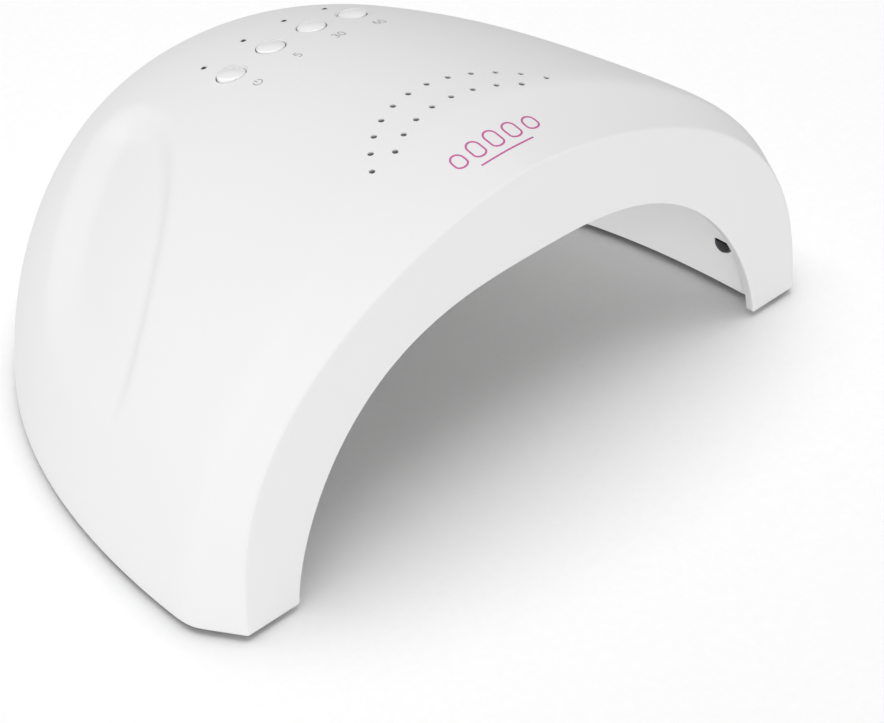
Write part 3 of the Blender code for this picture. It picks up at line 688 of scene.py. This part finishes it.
def dark_window(name):
    """Smoked plastic that only lets infrared through: near black, polished, with a faint violet depth."""
    n = Nodes(name)
    depth = n.noise(420.0, 3.0)
    wipe = n.noise(900.0, 4.0, 0.6, (1.0, 3.0, 1.0))
    n.set(Base_Color=n.tint(depth, (0.006, 0.005, 0.008), (0.014, 0.011, 0.018)),
          Roughness=n.spread(wipe, 0.05, 0.14), Coat_Weight=0.6, Coat_Roughness=0.04,
          Normal=n.height(wipe, 0.04, 0.00003))
    return n.material


def lens_silicone(name):
    """The soft dome over an LED chip: a milky yellow phosphor look with tiny bubbles."""
    n = Nodes(name)
    cloud = n.noise(900.0, 4.0)
    bubbles = n.add("ShaderNodeTexVoronoi", {"Vector": n.coords, "Scale": 2600.0}).outputs["Distance"]
    n.set(Base_Color=n.tint(cloud, (0.62, 0.5, 0.16), (0.8, 0.72, 0.34)),
          Roughness=n.spread(cloud, 0.08, 0.2), Subsurface_Weight=0.35, Subsurface_Scale=0.001,
          Coat_Weight=0.5, Normal=n.height(bubbles, 0.08, 0.00003))
    return n.material


SHELL = gloss_plastic("shell_gloss_white", (0.80, 0.80, 0.805))
LINER = gloss_plastic("liner_gloss_white", (0.80, 0.80, 0.80), (0.2, 0.3), 0.2, 0.08)
BUTTON = gloss_plastic("button_gloss_white", (0.92, 0.92, 0.925), (0.14, 0.22), 0.4, 0.05)
BASE = satin_plastic("base_satin_white", (0.72, 0.72, 0.73))
BLACK_PLASTIC = satin_plastic("black_plastic", (0.018, 0.018, 0.019), (0.3, 0.45), 0.3, 2200.0)
FOOT = rubber("foot_rubber", (0.022, 0.022, 0.022))
STEEL = metal("zinc_steel", (0.62, 0.62, 0.64))
PIN = metal("nickel_pin", (0.66, 0.64, 0.6), (0.12, 0.24), (1.0, 0.2, 1.0))
COPPER = metal("copper_winding", (0.74, 0.36, 0.2), (0.25, 0.4), (0.2, 0.2, 3.0), 1200.0)
BOARD = board_green("board_solder_mask")
STRIP = satin_plastic("strip_white_mask", (0.78, 0.78, 0.76), (0.3, 0.42), 0.2, 1800.0)
LENS = lens_silicone("bead_lens")
WINDOW = dark_window("ir_window")
PIPE = dark_window("indicator_smoke")
CONNECTOR = satin_plastic("connector_nylon", (0.76, 0.74, 0.66), (0.4, 0.55))
SLEEVE = gloss_plastic("capacitor_sleeve", (0.02, 0.025, 0.05), (0.25, 0.35), 0.1, 0.1)
WIRE_RED = satin_plastic("wire_red", (0.5, 0.02, 0.02), (0.35, 0.5), 0.2)
WIRE_BLACK = satin_plastic("wire_black", (0.02, 0.02, 0.02), (0.35, 0.5), 0.2)
MAGENTA_INK = ink("ink_magenta", (0.56, 0.12, 0.34))
GREY_INK = ink("ink_grey", (0.44, 0.44, 0.45))

NODE_MATERIALS = {
    "base_ring": BASE, "base_screw": STEEL, "button": BUTTON,
    "control_board": BOARD, "control_lead": WIRE_BLACK, "control_screw": STEEL,
    "dc_inlet": BLACK_PLASTIC, "dc_inlet_pin": PIN, "dc_lead_black": WIRE_BLACK, "dc_lead_red": WIRE_RED,
    "driver_board": BOARD, "driver_capacitor": SLEEVE, "driver_connector": CONNECTOR,
    "driver_inductor": COPPER, "driver_screw": STEEL, "emitter_lead": WIRE_BLACK, "foot": FOOT,
    "indicator_pipe": PIPE, "ir_emitter_board": BOARD, "ir_emitter_window": WINDOW,
    "ir_receiver_board": BOARD, "ir_receiver_window": WINDOW, "led_strip": STRIP,
    "outer_shell": SHELL, "receiver_lead": WIRE_BLACK, "reflector": LINER, "tact_switch": BLACK_PLASTIC,
}


def paint_nodes():
    """Every carried-over CAD node gets the finish of the longest key that its name starts with."""
    for name, node in frame["nodes"].items():
        start = max((key for key in NODE_MATERIALS if name.startswith(key)), key=len)
        node.data.materials.clear()
        node.data.materials.append(NODE_MATERIALS[start])


# ---------------- outer shell

COLUMNS = 230
DOME_ROWS = 130
EDGE_STEPS = (0.2, 0.4, 0.65, 0.95, 1.4, 2.2, 3.4)
RIDGE_STEPS = (6.0, 5.0, 4.0, 3.0, 2.0, 1.0)
LIP_STEPS = (0.04,)
INNER_EDGE_STEPS = (0.2, 0.15, 0.1, 0.05)
FOOT_ROUND = 0.7 * MM
FOLD_ROWS = {}


def shell_grid(inset):
    """Rows of the shell's surface from the lip inside the arch to the foot of the back."""
    angles = foot_columns(COLUMNS)
    lip = arch_points(INNER_ARCH, angles, inset, LIP)
    edge = arch_points(INNER_ARCH, angles, inset, inset)
    crease = arch_points(OUTER_ARCH, angles, -inset, inset)
    ridge = ridge_points(angles)
    shares = np.sin(np.linspace(0.0, 1.0, DOME_ROWS + 1) * math.pi / 2)
    dome = slices(dome_value, ridge, angles, DEPTH, shares)
    normal = normal_of(dome_value, dome)
    tangent = np.gradient(ridge, axis=0)
    band = unit(np.cross(ridge - arch_points(OUTER_ARCH, angles, 0.0, 0.0), tangent))
    mitre = unit(normal[0] + band)
    mitre /= np.maximum((mitre * normal[0]).sum(-1, keepdims=True), 0.5)
    sink = pocket_sink(dome[..., 1], dome[..., 2]) + inset
    dome = dome - normal * sink[..., None]
    dome[0] = ridge - mitre * inset
    rows = [lip] + span(lip, edge, LIP_STEPS, INNER_EDGE_STEPS if inset else EDGE_STEPS[3::-1], 2)
    FOLD_ROWS["edge"] = len(rows)
    rows += [edge] + span(edge, crease, EDGE_STEPS, EDGE_STEPS[::-1], 5)
    FOLD_ROWS["crease"] = len(rows)
    rows += [crease] + span(crease, dome[0], EDGE_STEPS, RIDGE_STEPS, 3)
    FOLD_ROWS["ridge"] = len(rows)
    grid = np.array(rows + list(dome))
    grid[:, (0, -1), 2] = 0.0
    grid[-1] = (0.0, DEPTH - inset, 0.0)
    return grid


def round_folds(grid):
    """The shell's outer surface with its folds softened and its bottom edge rounded inwards."""
    for fold, reach in (("edge", 6), ("crease", 6), ("ridge", 7)):
        grid = soften(grid, FOLD_ROWS[fold], reach, 5)
    low = np.clip(FOOT_ROUND - grid[..., 2], 0.0, FOOT_ROUND)
    inset = FOOT_ROUND - np.sqrt(FOOT_ROUND ** 2 - low ** 2)
    outward = grid_normals(grid) * (1.0, 1.0, 0.0) + (0.0, TINY, 0.0)
    outward[-1] = (0.0, 1.0, 0.0)
    return grid - unit(outward) * inset[..., None]


def panel_frame(x, back=0.0):
    """A place on the tilted panel under the buttons, with Z along the push direction."""
    point = np.array((x, PANEL_DEPTH, PANEL_HEIGHT))
    point = point + np.array((0.0, math.cos(PANEL_TILT), -math.sin(PANEL_TILT))) * back
    return frame_at(point, PANEL_AXIS)


def height_over_panel(x, back=0.0):
    """Millimetres from the panel up to the dome, along the push direction."""
    start = np.array(panel_frame(x, back).translation)
    return float(np.linalg.norm(cast(dome_value, start, PANEL_AXIS) - start)) / MM


def vent_places():
    """Places on the dome along the two arcs of vents."""
    places = []
    for radius, centre, pitch, count in VENT_ARCS:
        for i in range(count):
            turn = (i - (count - 1) / 2) * pitch
            x, d = radius * math.sin(turn), centre + radius * math.cos(turn)
            point = cast(dome_value, np.array((x, d, 0.0)), np.array((0.0, 0.0, 1.0)))
            places.append(frame_at(point, normal_of(dome_value, point)))
    return places


def hole_tool(name, places, radius, rim, depth=6.0, segments=32, flat=None, relief=None):
    """A bore with a small rounded rim at the surface, at z = 0 of each place, in millimetres.

    Where relief is given, as (depth, radius), the bore widens to that radius below that depth.
    """
    stages = ((-depth, radius), (-rim, radius), (-0.55 * rim, radius + 0.12 * rim),
              (-0.2 * rim, radius + 0.42 * rim), (0.02, radius + 0.95 * rim), (1.5, radius + 1.6 * rim))
    if relief:
        stages = ((-depth, relief[1]), (-relief[0] - 0.1, relief[1]), (-relief[0], radius)) + stages[1:]
    return turned_mesh(name, stages, places, segments, flat)


def lifted(place, height):
    return place @ Matrix.Translation((0.0, 0.0, height * MM))


def build_shell():
    outer = round_folds(shell_grid(0.0))
    inner = shell_grid(WALL)
    mesh = closed_pair("outer_shell_visual", outer, inner)
    vents = vent_places()
    buttons = [lifted(panel_frame(x), height_over_panel(x)) for x in BUTTON_X]
    dots = [lifted(panel_frame(x, INDICATOR_BACK), height_over_panel(x, INDICATOR_BACK)) for x in BUTTON_X]
    inlet = frame_at((0.0, DEPTH - 0.4 * MM, INLET_HEIGHT), (0.0, 1.0, 0.0))
    vent_radius, button_radius = VENT_RADIUS / MM + VENT_SLACK, BUTTON_RADIUS / MM + BUTTON_GAP
    tools = [hole_tool("vents", vents, vent_radius, VENT_RIM, segments=24, relief=VENT_RELIEF),
             hole_tool("button_holes", buttons, button_radius, BUTTON_RIM, segments=64),
             hole_tool("dots", dots, DOT_RADIUS, DOT_RIM, segments=24),
             hole_tool("inlet", [inlet], INLET_HOLE, INLET_RIM, segments=48)]
    mesh = carve(mesh, tools)
    surface = Surface(outer)
    keep_shading(mesh, surface, vents + dots + buttons + [inlet], 9.0 * MM)
    new_piece("outer_shell_visual", mesh, SHELL, ["outer_shell"])
    return surface


# ---------------- reflector

REFLECTOR_COLUMNS = 150
REFLECTOR_ROWS = 70
FLANGE_STEPS = ((0.6, 1.2), (0.9, 0.6, 0.3))
FLANGE_FOLD = 7
STRIP_LIFT = REFLECTOR_WALL + 0.8 * MM


def reflector_grid(outset):
    """Rows of the reflector's surface from its front flange to the back of the cavity."""
    angles = foot_columns(REFLECTOR_COLUMNS)
    behind = WALL + FIT
    start = face_to_lamp(np.zeros(3), behind)
    run = face_to_lamp(polar(angles), 0.0)
    front = cast(reflector_value, start[None], run)
    shares = np.sin(np.linspace(0.0, 1.0, REFLECTOR_ROWS + 1) * math.pi / 2)
    cavity = slices(reflector_value, front, angles, REFLECTOR_BACK, shares)
    wall = cavity + normal_of(reflector_value, cavity) * outset
    back = np.array((0.0, outset, 0.0))
    wall[0] = front + run * outset + back
    flange = front + run * REFLECTOR_FLANGE + back
    rows = [flange] + span(flange, wall[0], *FLANGE_STEPS, 1)
    grid = np.array(rows + list(wall))
    grid[:, (0, -1), 2] = 0.0
    return grid


def reflector_at(angle, d):
    """The cavity surface at a polar angle in the cross section at depth d, and its normal."""
    point = cast(reflector_value, np.array((0.0, d, 0.0)), np.array((math.cos(angle), 0.0, math.sin(angle))))
    return point, normal_of(reflector_value, point)


def bead_places(d):
    spread = math.pi - 2.0 * STRIP_END
    places = []
    for i in range(BEADS_PER_STRIP):
        point, normal = reflector_at(STRIP_END + spread * (i + 0.5) / BEADS_PER_STRIP, d)
        places.append(frame_at(point, -normal, (0.0, 1.0, 0.0)))
    return places


def sensor_place(side):
    start = np.array((0.0, SENSOR_DEPTH, SENSOR_HEIGHT))
    point = cast(reflector_value, start, np.array((float(side), 0.0, 0.0)))
    return frame_at(point, (-side, 0.0, 0.0), (0.0, -side, 0.0))


def build_reflector():
    cavity, wall = reflector_grid(0.0), reflector_grid(REFLECTOR_WALL)
    cavity = soften(cavity, FLANGE_FOLD, 4, 4)
    mesh = closed_pair("reflector_visual", cavity, wall)
    beads = [place for d in STRIP_DEPTHS for place in bead_places(d)]
    sensors = [sensor_place(side) for side in (-1, 1)]
    rim, depth = REFLECTOR_RIM, REFLECTOR_HOLE_DEPTH
    tools = [hole_tool("bead_holes", beads, (BEAD_RADIUS + FIT) / MM, rim, depth),
             hole_tool("sensor_holes", sensors, (SENSOR_RADIUS + FIT) / MM, rim, depth,
                       flat=(SENSOR_FLAT + FIT) / MM)]
    mesh = carve(mesh, tools)
    keep_shading(mesh, Surface(cavity[:, ::-1]), beads + sensors, 6.0 * MM)
    new_piece("reflector_visual", mesh, LINER, ["reflector"])


def strip_ribbon(name, d):
    """The flat strip at depth d, bent over the outside of the reflector."""
    angles = np.linspace(STRIP_END, math.pi - STRIP_END, 97)
    across = np.linspace(-0.5, 0.5, 7) * STRIP_WIDTH + d
    start = np.stack((np.zeros(7), across, np.zeros(7)), -1)
    cavity = cast(reflector_value, start[:, None], polar(angles)[None])
    normal = normal_of(reflector_value, cavity)
    return closed_pair(name, cavity + normal * STRIP_LIFT, cavity + normal * (STRIP_LIFT + STRIP_THICK))


def build_strips():
    radius, foot = BEAD_RADIUS / MM, -STRIP_LIFT / MM - 0.4
    cup = rounded(((foot, radius), (0.35, radius), (0.35, radius - 0.55),
                   (0.1, radius - 0.6), (0.1, 0.2)), 0.15)
    dome = [(0.12 + 1.08 * math.sin(t), (radius - 0.62) * math.cos(t) + 0.02)
            for t in np.linspace(0.0, 1.45, 10)]
    for name, d in zip(STRIP_NAMES, STRIP_DEPTHS):
        ribbon = strip_ribbon(f"led_strip_{name}", d)
        places = bead_places(d)
        body = turned_mesh("bead_bodies", cup, places, 40)
        lens = turned_mesh("bead_lenses", [(0.0, radius - 0.6)] + dome, places, 40)
        new_piece(f"led_strip_{name}_visual", shade(carve(ribbon, [body], "UNION")), STRIP,
                  [f"led_strip_{name}"])
        new_piece(f"led_lenses_{name}", shade(lens, 60.0), LENS)


# ---------------- buttons and sensors

def build_buttons():
    for name, x in zip(BUTTON_NAMES, BUTTON_X):
        top = height_over_panel(x)
        radius, shoulder, stalk = BUTTON_RADIUS / MM, top - 0.25, 1.6
        flange, flange_radius, flange_thick = top - 5.8, radius + 1.3, 1.0
        stem = rounded(((7.2, stalk), (flange - flange_thick, stalk), (flange - flange_thick, flange_radius),
                        (flange, flange_radius), (flange, radius), (shoulder, radius)), 0.25)
        crown = [(shoulder + 0.42 * math.sin(t), radius * (0.9 + 0.1 * math.cos(t)))
                 for t in np.linspace(0.15, 1.2, 8)]
        last, edge = crown[-1]
        cap = [(last + 0.45 * (1.0 - k * k), edge * k) for k in (0.9, 0.75, 0.6, 0.45, 0.3, 0.15)]
        mesh = turned_mesh(f"button_{name}", stem + crown + cap, [panel_frame(x)], 64)
        new_piece(f"button_{name}_visual", shade(mesh, 50.0), BUTTON, [f"button_{name}"],
                  f"button_{name}_body")


def build_windows():
    for side, name in ((-1, "emitter"), (1, "receiver")):
        radius, face = SENSOR_RADIUS / MM, 0.25
        stages = rounded(((-3.4, radius + 1.0), (-2.6, radius + 1.0), (-2.6, radius), (face, radius)), 0.12)
        stages += [(face + 0.62 * math.sin(t), radius * math.cos(t)) for t in np.linspace(0.3, 1.45, 9)]
        mesh = turned_mesh(f"ir_{name}_window", stages, [sensor_place(side)], 56, SENSOR_FLAT / MM)
        new_piece(f"ir_{name}_window_visual", shade(mesh, 50.0), WINDOW,
                  [f"ir_{name}_window"])


# ---------------- base

SCREW_HEAD = 1.5 * MM


def footprint(value, corner, turns, outset):
    """Points round a surface's foot from its right front corner, turn 0, to its left one, turn 1."""
    heading = -corner + (math.pi + 2.0 * corner) * np.asarray(turns)
    ray = np.stack((np.cos(heading), np.sin(heading), np.zeros(len(heading))), -1)
    points = cast(value, np.array((0.0, DOME_CENTRE, 0.0)), ray)
    normal = normal_of(value, points)
    normal[:, 2] = 0.0
    points = points + unit(normal) * outset
    points[:, 2] = 0.0
    return points


def outline_points(turns, inset):
    corner = math.atan2(DOME_CENTRE - RIDGE_FOOT, HALF_WIDTH)
    return footprint(dome_value, corner, turns, -inset)


def reflector_outline(turns, gap):
    front = cast(reflector_value, face_to_lamp(np.zeros(3), WALL + FIT), np.array((1.0, 0.0, 0.0)))
    return footprint(reflector_value, math.atan2(DOME_CENTRE - front[1], front[0]), turns, gap)


def screw_places():
    return [Matrix.Translation(Vector(p)) for p in outline_points(SCREW_TURNS, SCREW_INSET)]


def ring_mesh():
    """A flat ring between the reflector and the shell, with bevelled lower edges."""
    turns = np.linspace(RING_START, 1.0 - RING_START, 181)
    near, far, depth = RING_TAB
    inner = reflector_outline(turns, REFLECTOR_WALL + FIT)
    outer = outline_points(turns, WALL + 2 * FIT)
    inner = np.vstack(((near, depth, 0.0), inner, (-near, depth, 0.0)))
    outer = np.vstack(((far, depth, 0.0), outer, (-far, depth, 0.0)))
    length = np.linalg.norm(outer - inner, axis=-1, keepdims=True)
    along = (outer - inner) / length
    bottom, top, bevel = RING_BOTTOM / MM, (RING_BOTTOM + RING_THICK) / MM, 0.35
    corner = [(0.0, bottom + bevel), (0.1 * bevel, bottom + 0.4 * bevel),
              (0.4 * bevel, bottom + 0.1 * bevel), (bevel, bottom)]
    profile = [(inner, 0.0, (bottom + top) / 2)] + [(inner, offset, z) for offset, z in corner]
    profile += [(outer, -offset, z) for offset, z in corner[::-1]]
    profile += [(outer, 0.0, top), (inner, 0.0, top)]
    rows = np.array([side + along * offset * MM + (0.0, 0.0, z * MM) for side, offset, z in profile])
    count, columns = rows.shape[:2]
    index = np.arange(count * columns).reshape(count, columns)
    faces = []
    for a, b in zip(index, np.roll(index, -1, 0)):
        faces += np.stack((a[:-1], a[1:], b[1:], b[:-1]), -1).tolist()
    faces += [index[:, 0].tolist(), index[::-1, -1].tolist()]
    return mesh_of("base_ring_visual", rows, faces)


def build_base_ring():
    bore = 1.6
    tool = turned_mesh("ring_holes", ((-2.0, bore), (6.0, bore)), screw_places(), 32)
    mesh = carve(ring_mesh(), [tool])
    new_piece("base_ring_visual", shade(mesh, 40.0), BASE, ["base_ring"])


def recess_tool(place, half_x, half_y):
    """One bar of a screw's cross recess, narrower along X at its deep end."""
    bm = bmesh.new()
    bmesh.ops.create_cube(bm, size=1.0)
    for v in bm.verts:
        narrow = 0.55 if v.co.z > 0 else 1.0
        v.co = Vector((v.co.x * 2 * half_x * narrow, v.co.y * 2 * half_y, v.co.z * 1.4 * MM - SCREW_HEAD))
    bm.transform(place)
    tool = bpy.data.meshes.new("recess")
    bm.to_mesh(tool)
    bm.free()
    return tool


def build_screws():
    """Pan heads with a cross recess, seen from below."""
    slot, reach = 0.42 * MM, 1.5 * MM
    core, crest, pitch = 1.02, 1.2, 0.62
    stages = [(-SCREW_HEAD / MM + 0.62 * (1 - math.cos(t)), 0.55 + 1.95 * math.sin(t))
              for t in np.linspace(0.0, 1.5, 9)]
    stages += [(-0.4, 2.5), (-0.01, 2.45), (0.0, 1.15)]
    for turn in range(13):
        z = 0.6 + pitch * turn
        stages += [(z, core), (z + 0.22, crest), (z + 0.44, core)]
    stages.append((9.5, 0.6))
    for index, place in enumerate(screw_places()):
        name = f"base_screw_{index + 1}"
        mesh = turned_mesh(name, stages, [place], 40)
        tools = [recess_tool(place, reach, slot / 2), recess_tool(place, slot / 2, reach)]
        new_piece(f"{name}_visual", shade(carve(mesh, tools)), STEEL, [name])


def build_feet():
    for index in range(4):
        name = f"foot_{index + 1}"
        low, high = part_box(name)
        centre = (low + high) / 2 - Vector(ORIGIN)
        centre.z = low.z - ORIGIN[2]
        stages = [(0.25, 0.6), (0.25, 2.2)]
        stages += rounded(((0.0, 2.6), (0.0, 4.7), (0.7, 5.0), (2.0, 5.0)), 0.35, 4)
        mesh = turned_mesh(name, stages, [Matrix.Translation(centre)], 48)
        new_piece(f"{name}_visual", shade(mesh, 50.0), FOOT, [name])


def build_inlet():
    mouth = frame_at((0.0, DEPTH - INLET_SINK, INLET_HEIGHT), (0.0, 1.0, 0.0))
    barrel = rounded(((-15.0, 4.2), (0.0, 4.2), (0.0, 2.8), (-10.9, 2.8), (-10.9, 0.3)), 0.25, 4)
    mesh = turned_mesh("dc_inlet_visual", barrel, [mouth], 56)
    new_piece("dc_inlet_visual", shade(mesh), BLACK_PLASTIC, ["dc_inlet"])
    radius, tip = 1.05, -1.9
    pin = [(-10.7, radius), (tip, radius)]
    pin += [(tip + 0.95 * math.sin(t), radius * math.cos(t)) for t in np.linspace(0.15, 1.4, 7)]
    mesh = turned_mesh("dc_inlet_pin_visual", pin, [mouth], 40)
    new_piece("dc_inlet_pin_visual", shade(mesh, 50.0), PIN, ["dc_inlet_pin"])


# ---------------- printed marks

def arc(cx, cy, radius, start, end, steps, squash=1.0):
    turns = np.radians(np.linspace(start, end, steps))
    return [(cx + radius * math.cos(t), cy + radius * squash * math.sin(t)) for t in turns]


def glyph(sign):
    """Stroke paths of a sign one unit high and about 0.6 wide."""
    if sign == "0":
        return [arc(0.3, 0.5, 0.28, 90, 450, 30, 1.8)]
    if sign == "3":
        return [arc(0.28, 0.74, 0.25, 150, -90, 16) + arc(0.28, 0.245, 0.25, 90, -150, 16)]
    if sign == "5":
        return [[(0.52, 1.0), (0.12, 1.0), (0.07, 0.55)] + arc(0.28, 0.31, 0.3, 125, -140, 18)]
    if sign == "6":
        return [arc(0.62, 0.42, 0.6, 108, 172, 10) + arc(0.3, 0.29, 0.28, 180, 540, 26)]
    return [arc(0.3, 0.5, 0.46, 125, 415, 28), [(0.3, 0.55), (0.3, 1.08)]]


def sign_paths(signs, height):
    """Paths of a row of signs, centred on the origin."""
    advance, gap = 0.82, 0.22
    paths, x = [], 0.0
    for sign in signs:
        for path in glyph(sign):
            paths.append([((x + u) * height, v * height) for u, v in path])
        x += advance
    width = (x - gap) * height
    return [[(u - width / 2, v - height / 2) for u, v in path] for path in paths]


def refine(path, step):
    """The path with no stretch longer than step."""
    made = [path[0]]
    for a, b in zip(path, path[1:]):
        count = max(1, math.ceil(math.dist(a, b) / step))
        made += [tuple(np.array(a) + (np.array(b) - np.array(a)) * k / count) for k in range(1, count + 1)]
    return made


def print_on(name, surface, place, paths, width, material):
    """Thin ribbons of ink that follow the surface under the paths."""
    over, under, above = 0.03 * MM, 0.06 * MM, 6.0 * MM
    verts, faces = [], []
    down = -Vector(place.col[2][:3])
    for path in paths:
        points = np.array(refine(path, 0.4))
        tangent = unit(np.gradient(points, axis=0) + 1e-12)
        aside = np.stack((-tangent[:, 1], tangent[:, 0]), -1) * width / 2
        first = len(verts)
        for u, v in zip(points, aside):
            for share in (-1.0, 0.0, 1.0):
                flat = u + v * share
                start = place @ Vector((flat[0] * MM, flat[1] * MM, above))
                where, normal = surface.along(start, down)
                verts.append(where + normal * over)
                verts.append(where - normal * under)
        count = len(points)
        top = np.arange(first, first + count * 6).reshape(count, 3, 2)
        for a, b in zip(top, top[1:]):
            for k in (0, 1):
                faces.append((a[k, 0], b[k, 0], b[k + 1, 0], a[k + 1, 0]))
                faces.append((a[k, 1], a[k + 1, 1], b[k + 1, 1], b[k, 1]))
            faces.append((a[0, 0], a[0, 1], b[0, 1], b[0, 0]))
            faces.append((a[2, 0], b[2, 0], b[2, 1], a[2, 1]))
        for row in (top[0], top[-1]):
            faces.append((row[0, 0], row[1, 0], row[2, 0], row[2, 1], row[1, 1], row[0, 1]))
    mesh = mesh_of(name, verts, faces, 1e-9)
    new_piece(name, shade(mesh, 40.0), material)


CAPTION_BACK = -10.5 * MM
CAPTIONS = (("power",), "5", "30", "60")
CAPTION_HEIGHT = 2.5
MARK_DEPTH = 18.5 * MM
NAIL_HEIGHTS = (4.6, 5.6, 6.0, 5.6, 4.6)
NAIL_PITCH = 6.2
NAIL_RADIUS = 1.9


def nail_paths():
    """Outlines of five nails in a row, in millimetres."""
    paths = []
    r, bottom = NAIL_RADIUS, -1.4
    for i, height in enumerate(NAIL_HEIGHTS):
        u, top = (i - 2) * NAIL_PITCH, -3.0 + height
        paths.append([(u - r, bottom), (u - r, top - r)] + arc(u, top - r, r, 180, 0, 18)
                     + [(u + r, bottom)] + arc(u, bottom, r, 0, -180, 18, 0.7))
    return paths


def build_prints(surface):
    for signs, x, name in zip(CAPTIONS, BUTTON_X, BUTTON_NAMES):
        place = lifted(panel_frame(x, CAPTION_BACK), height_over_panel(x, CAPTION_BACK))
        print_on(f"caption_{name}", surface, place, sign_paths(signs, CAPTION_HEIGHT), 0.36, GREY_INK)
    where, normal = surface.along(Vector((0.0, MARK_DEPTH, 0.2)), Vector((0.0, 0.0, -1.0)))
    place = frame_at(where, normal)
    print_on("mark_nails", surface, place, nail_paths(), 0.55, MAGENTA_INK)
    print_on("mark_line", surface, place, [[(-9.0, -5.0), (9.0, -5.0)]], 0.5, MAGENTA_INK)


# ---------------- stage and light

def build_floor():
    n = Nodes("floor_paper")
    fibre = n.noise(400.0, 4.0, 0.6)
    n.set(Base_Color=n.tint(fibre, (0.93, 0.93, 0.93), (0.95, 0.95, 0.95)), Roughness=0.9,
          Specular_IOR_Level=0.1, Normal=n.height(fibre, 0.02, 0.0001))
    mesh = bpy.data.meshes.new("floor")
    reach, steps = 6.0, 24
    line = np.linspace(-reach, reach, steps + 1)
    grid = np.array([[(x, y, 0.0) for x in line] for y in line])
    mesh.from_pydata(grid.reshape(-1, 3).tolist(), [], grid_faces(steps + 1, steps + 1, 0, True).tolist())
    mesh.materials.append(n.material)
    floor = linked("floor", mesh)
    floor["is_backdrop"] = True


def area_light(name, place, size, power, lit):
    """A soft panel; it lights the pieces whose names start with one of the words in lit, or everything."""
    data = bpy.data.lights.new(name, "AREA")
    data.shape = "RECTANGLE"
    data.size, data.size_y = size
    data.energy = power
    light = linked(name, data)
    light.location = place
    light.rotation_euler = (Vector(LIGHT_TARGET) - Vector(place)).to_track_quat("-Z", "Y").to_euler()
    light.visible_camera = False
    if lit:
        group = bpy.data.collections.new(name)
        for item in bpy.context.scene.objects:
            if item.type == "MESH" and item.name.startswith(lit):
                group.objects.link(item)
        light.light_linking.receiver_collection = group


def build_light():
    scene = bpy.context.scene
    world = bpy.data.worlds.new("studio")
    world.use_nodes = True
    background = world.node_tree.nodes["Background"]
    background.inputs["Color"].default_value = (1.0, 1.0, 1.0, 1.0)
    background.inputs["Strength"].default_value = WORLD_STRENGTH
    scene.world = world
    scene.view_settings.view_transform = "Standard"
    lamp = tuple(sorted({o.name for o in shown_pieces()} | set(frame["nodes"])))
    for name, place, size, power, lit in LIGHTS:
        area_light(name, place, size, power, lamp if lit == "lamp" else lit)


WORLD_STRENGTH = 0.395
LIGHT_TARGET = (0.0, 0.0, 0.04)
INSIDE = ("reflector_visual", "ir_", "led_")
LIGHTS = (("top_panel", (0.0, 0.1, 1.4), (1.4, 1.4), 8.4, ()),
          ("floor_panel", (0.0, 0.0, 1.5), (1.6, 1.6), 10.0, ("floor",)),
          ("key_panel", (-0.9, -1.0, 0.7), (1.0, 1.0), 9.4, "lamp"),
          ("front_panel", (0.2, -1.4, 0.4), (1.4, 0.8), 1.8, "lamp"),
          ("rim_panel", (-1.1, 1.1, 0.4), (1.4, 0.8), 6.5, "lamp"),
          ("inside_panel", (-0.6, -0.7, 0.12), (0.4, 0.3), 3.2, INSIDE))

paint_nodes()
shell_surface = build_shell()
build_reflector()
build_strips()
build_buttons()
build_windows()
build_base_ring()
build_screws()
build_feet()
build_inlet()
build_prints(shell_surface)
build_floor()
build_light()

bpy.context.view_layer.update()
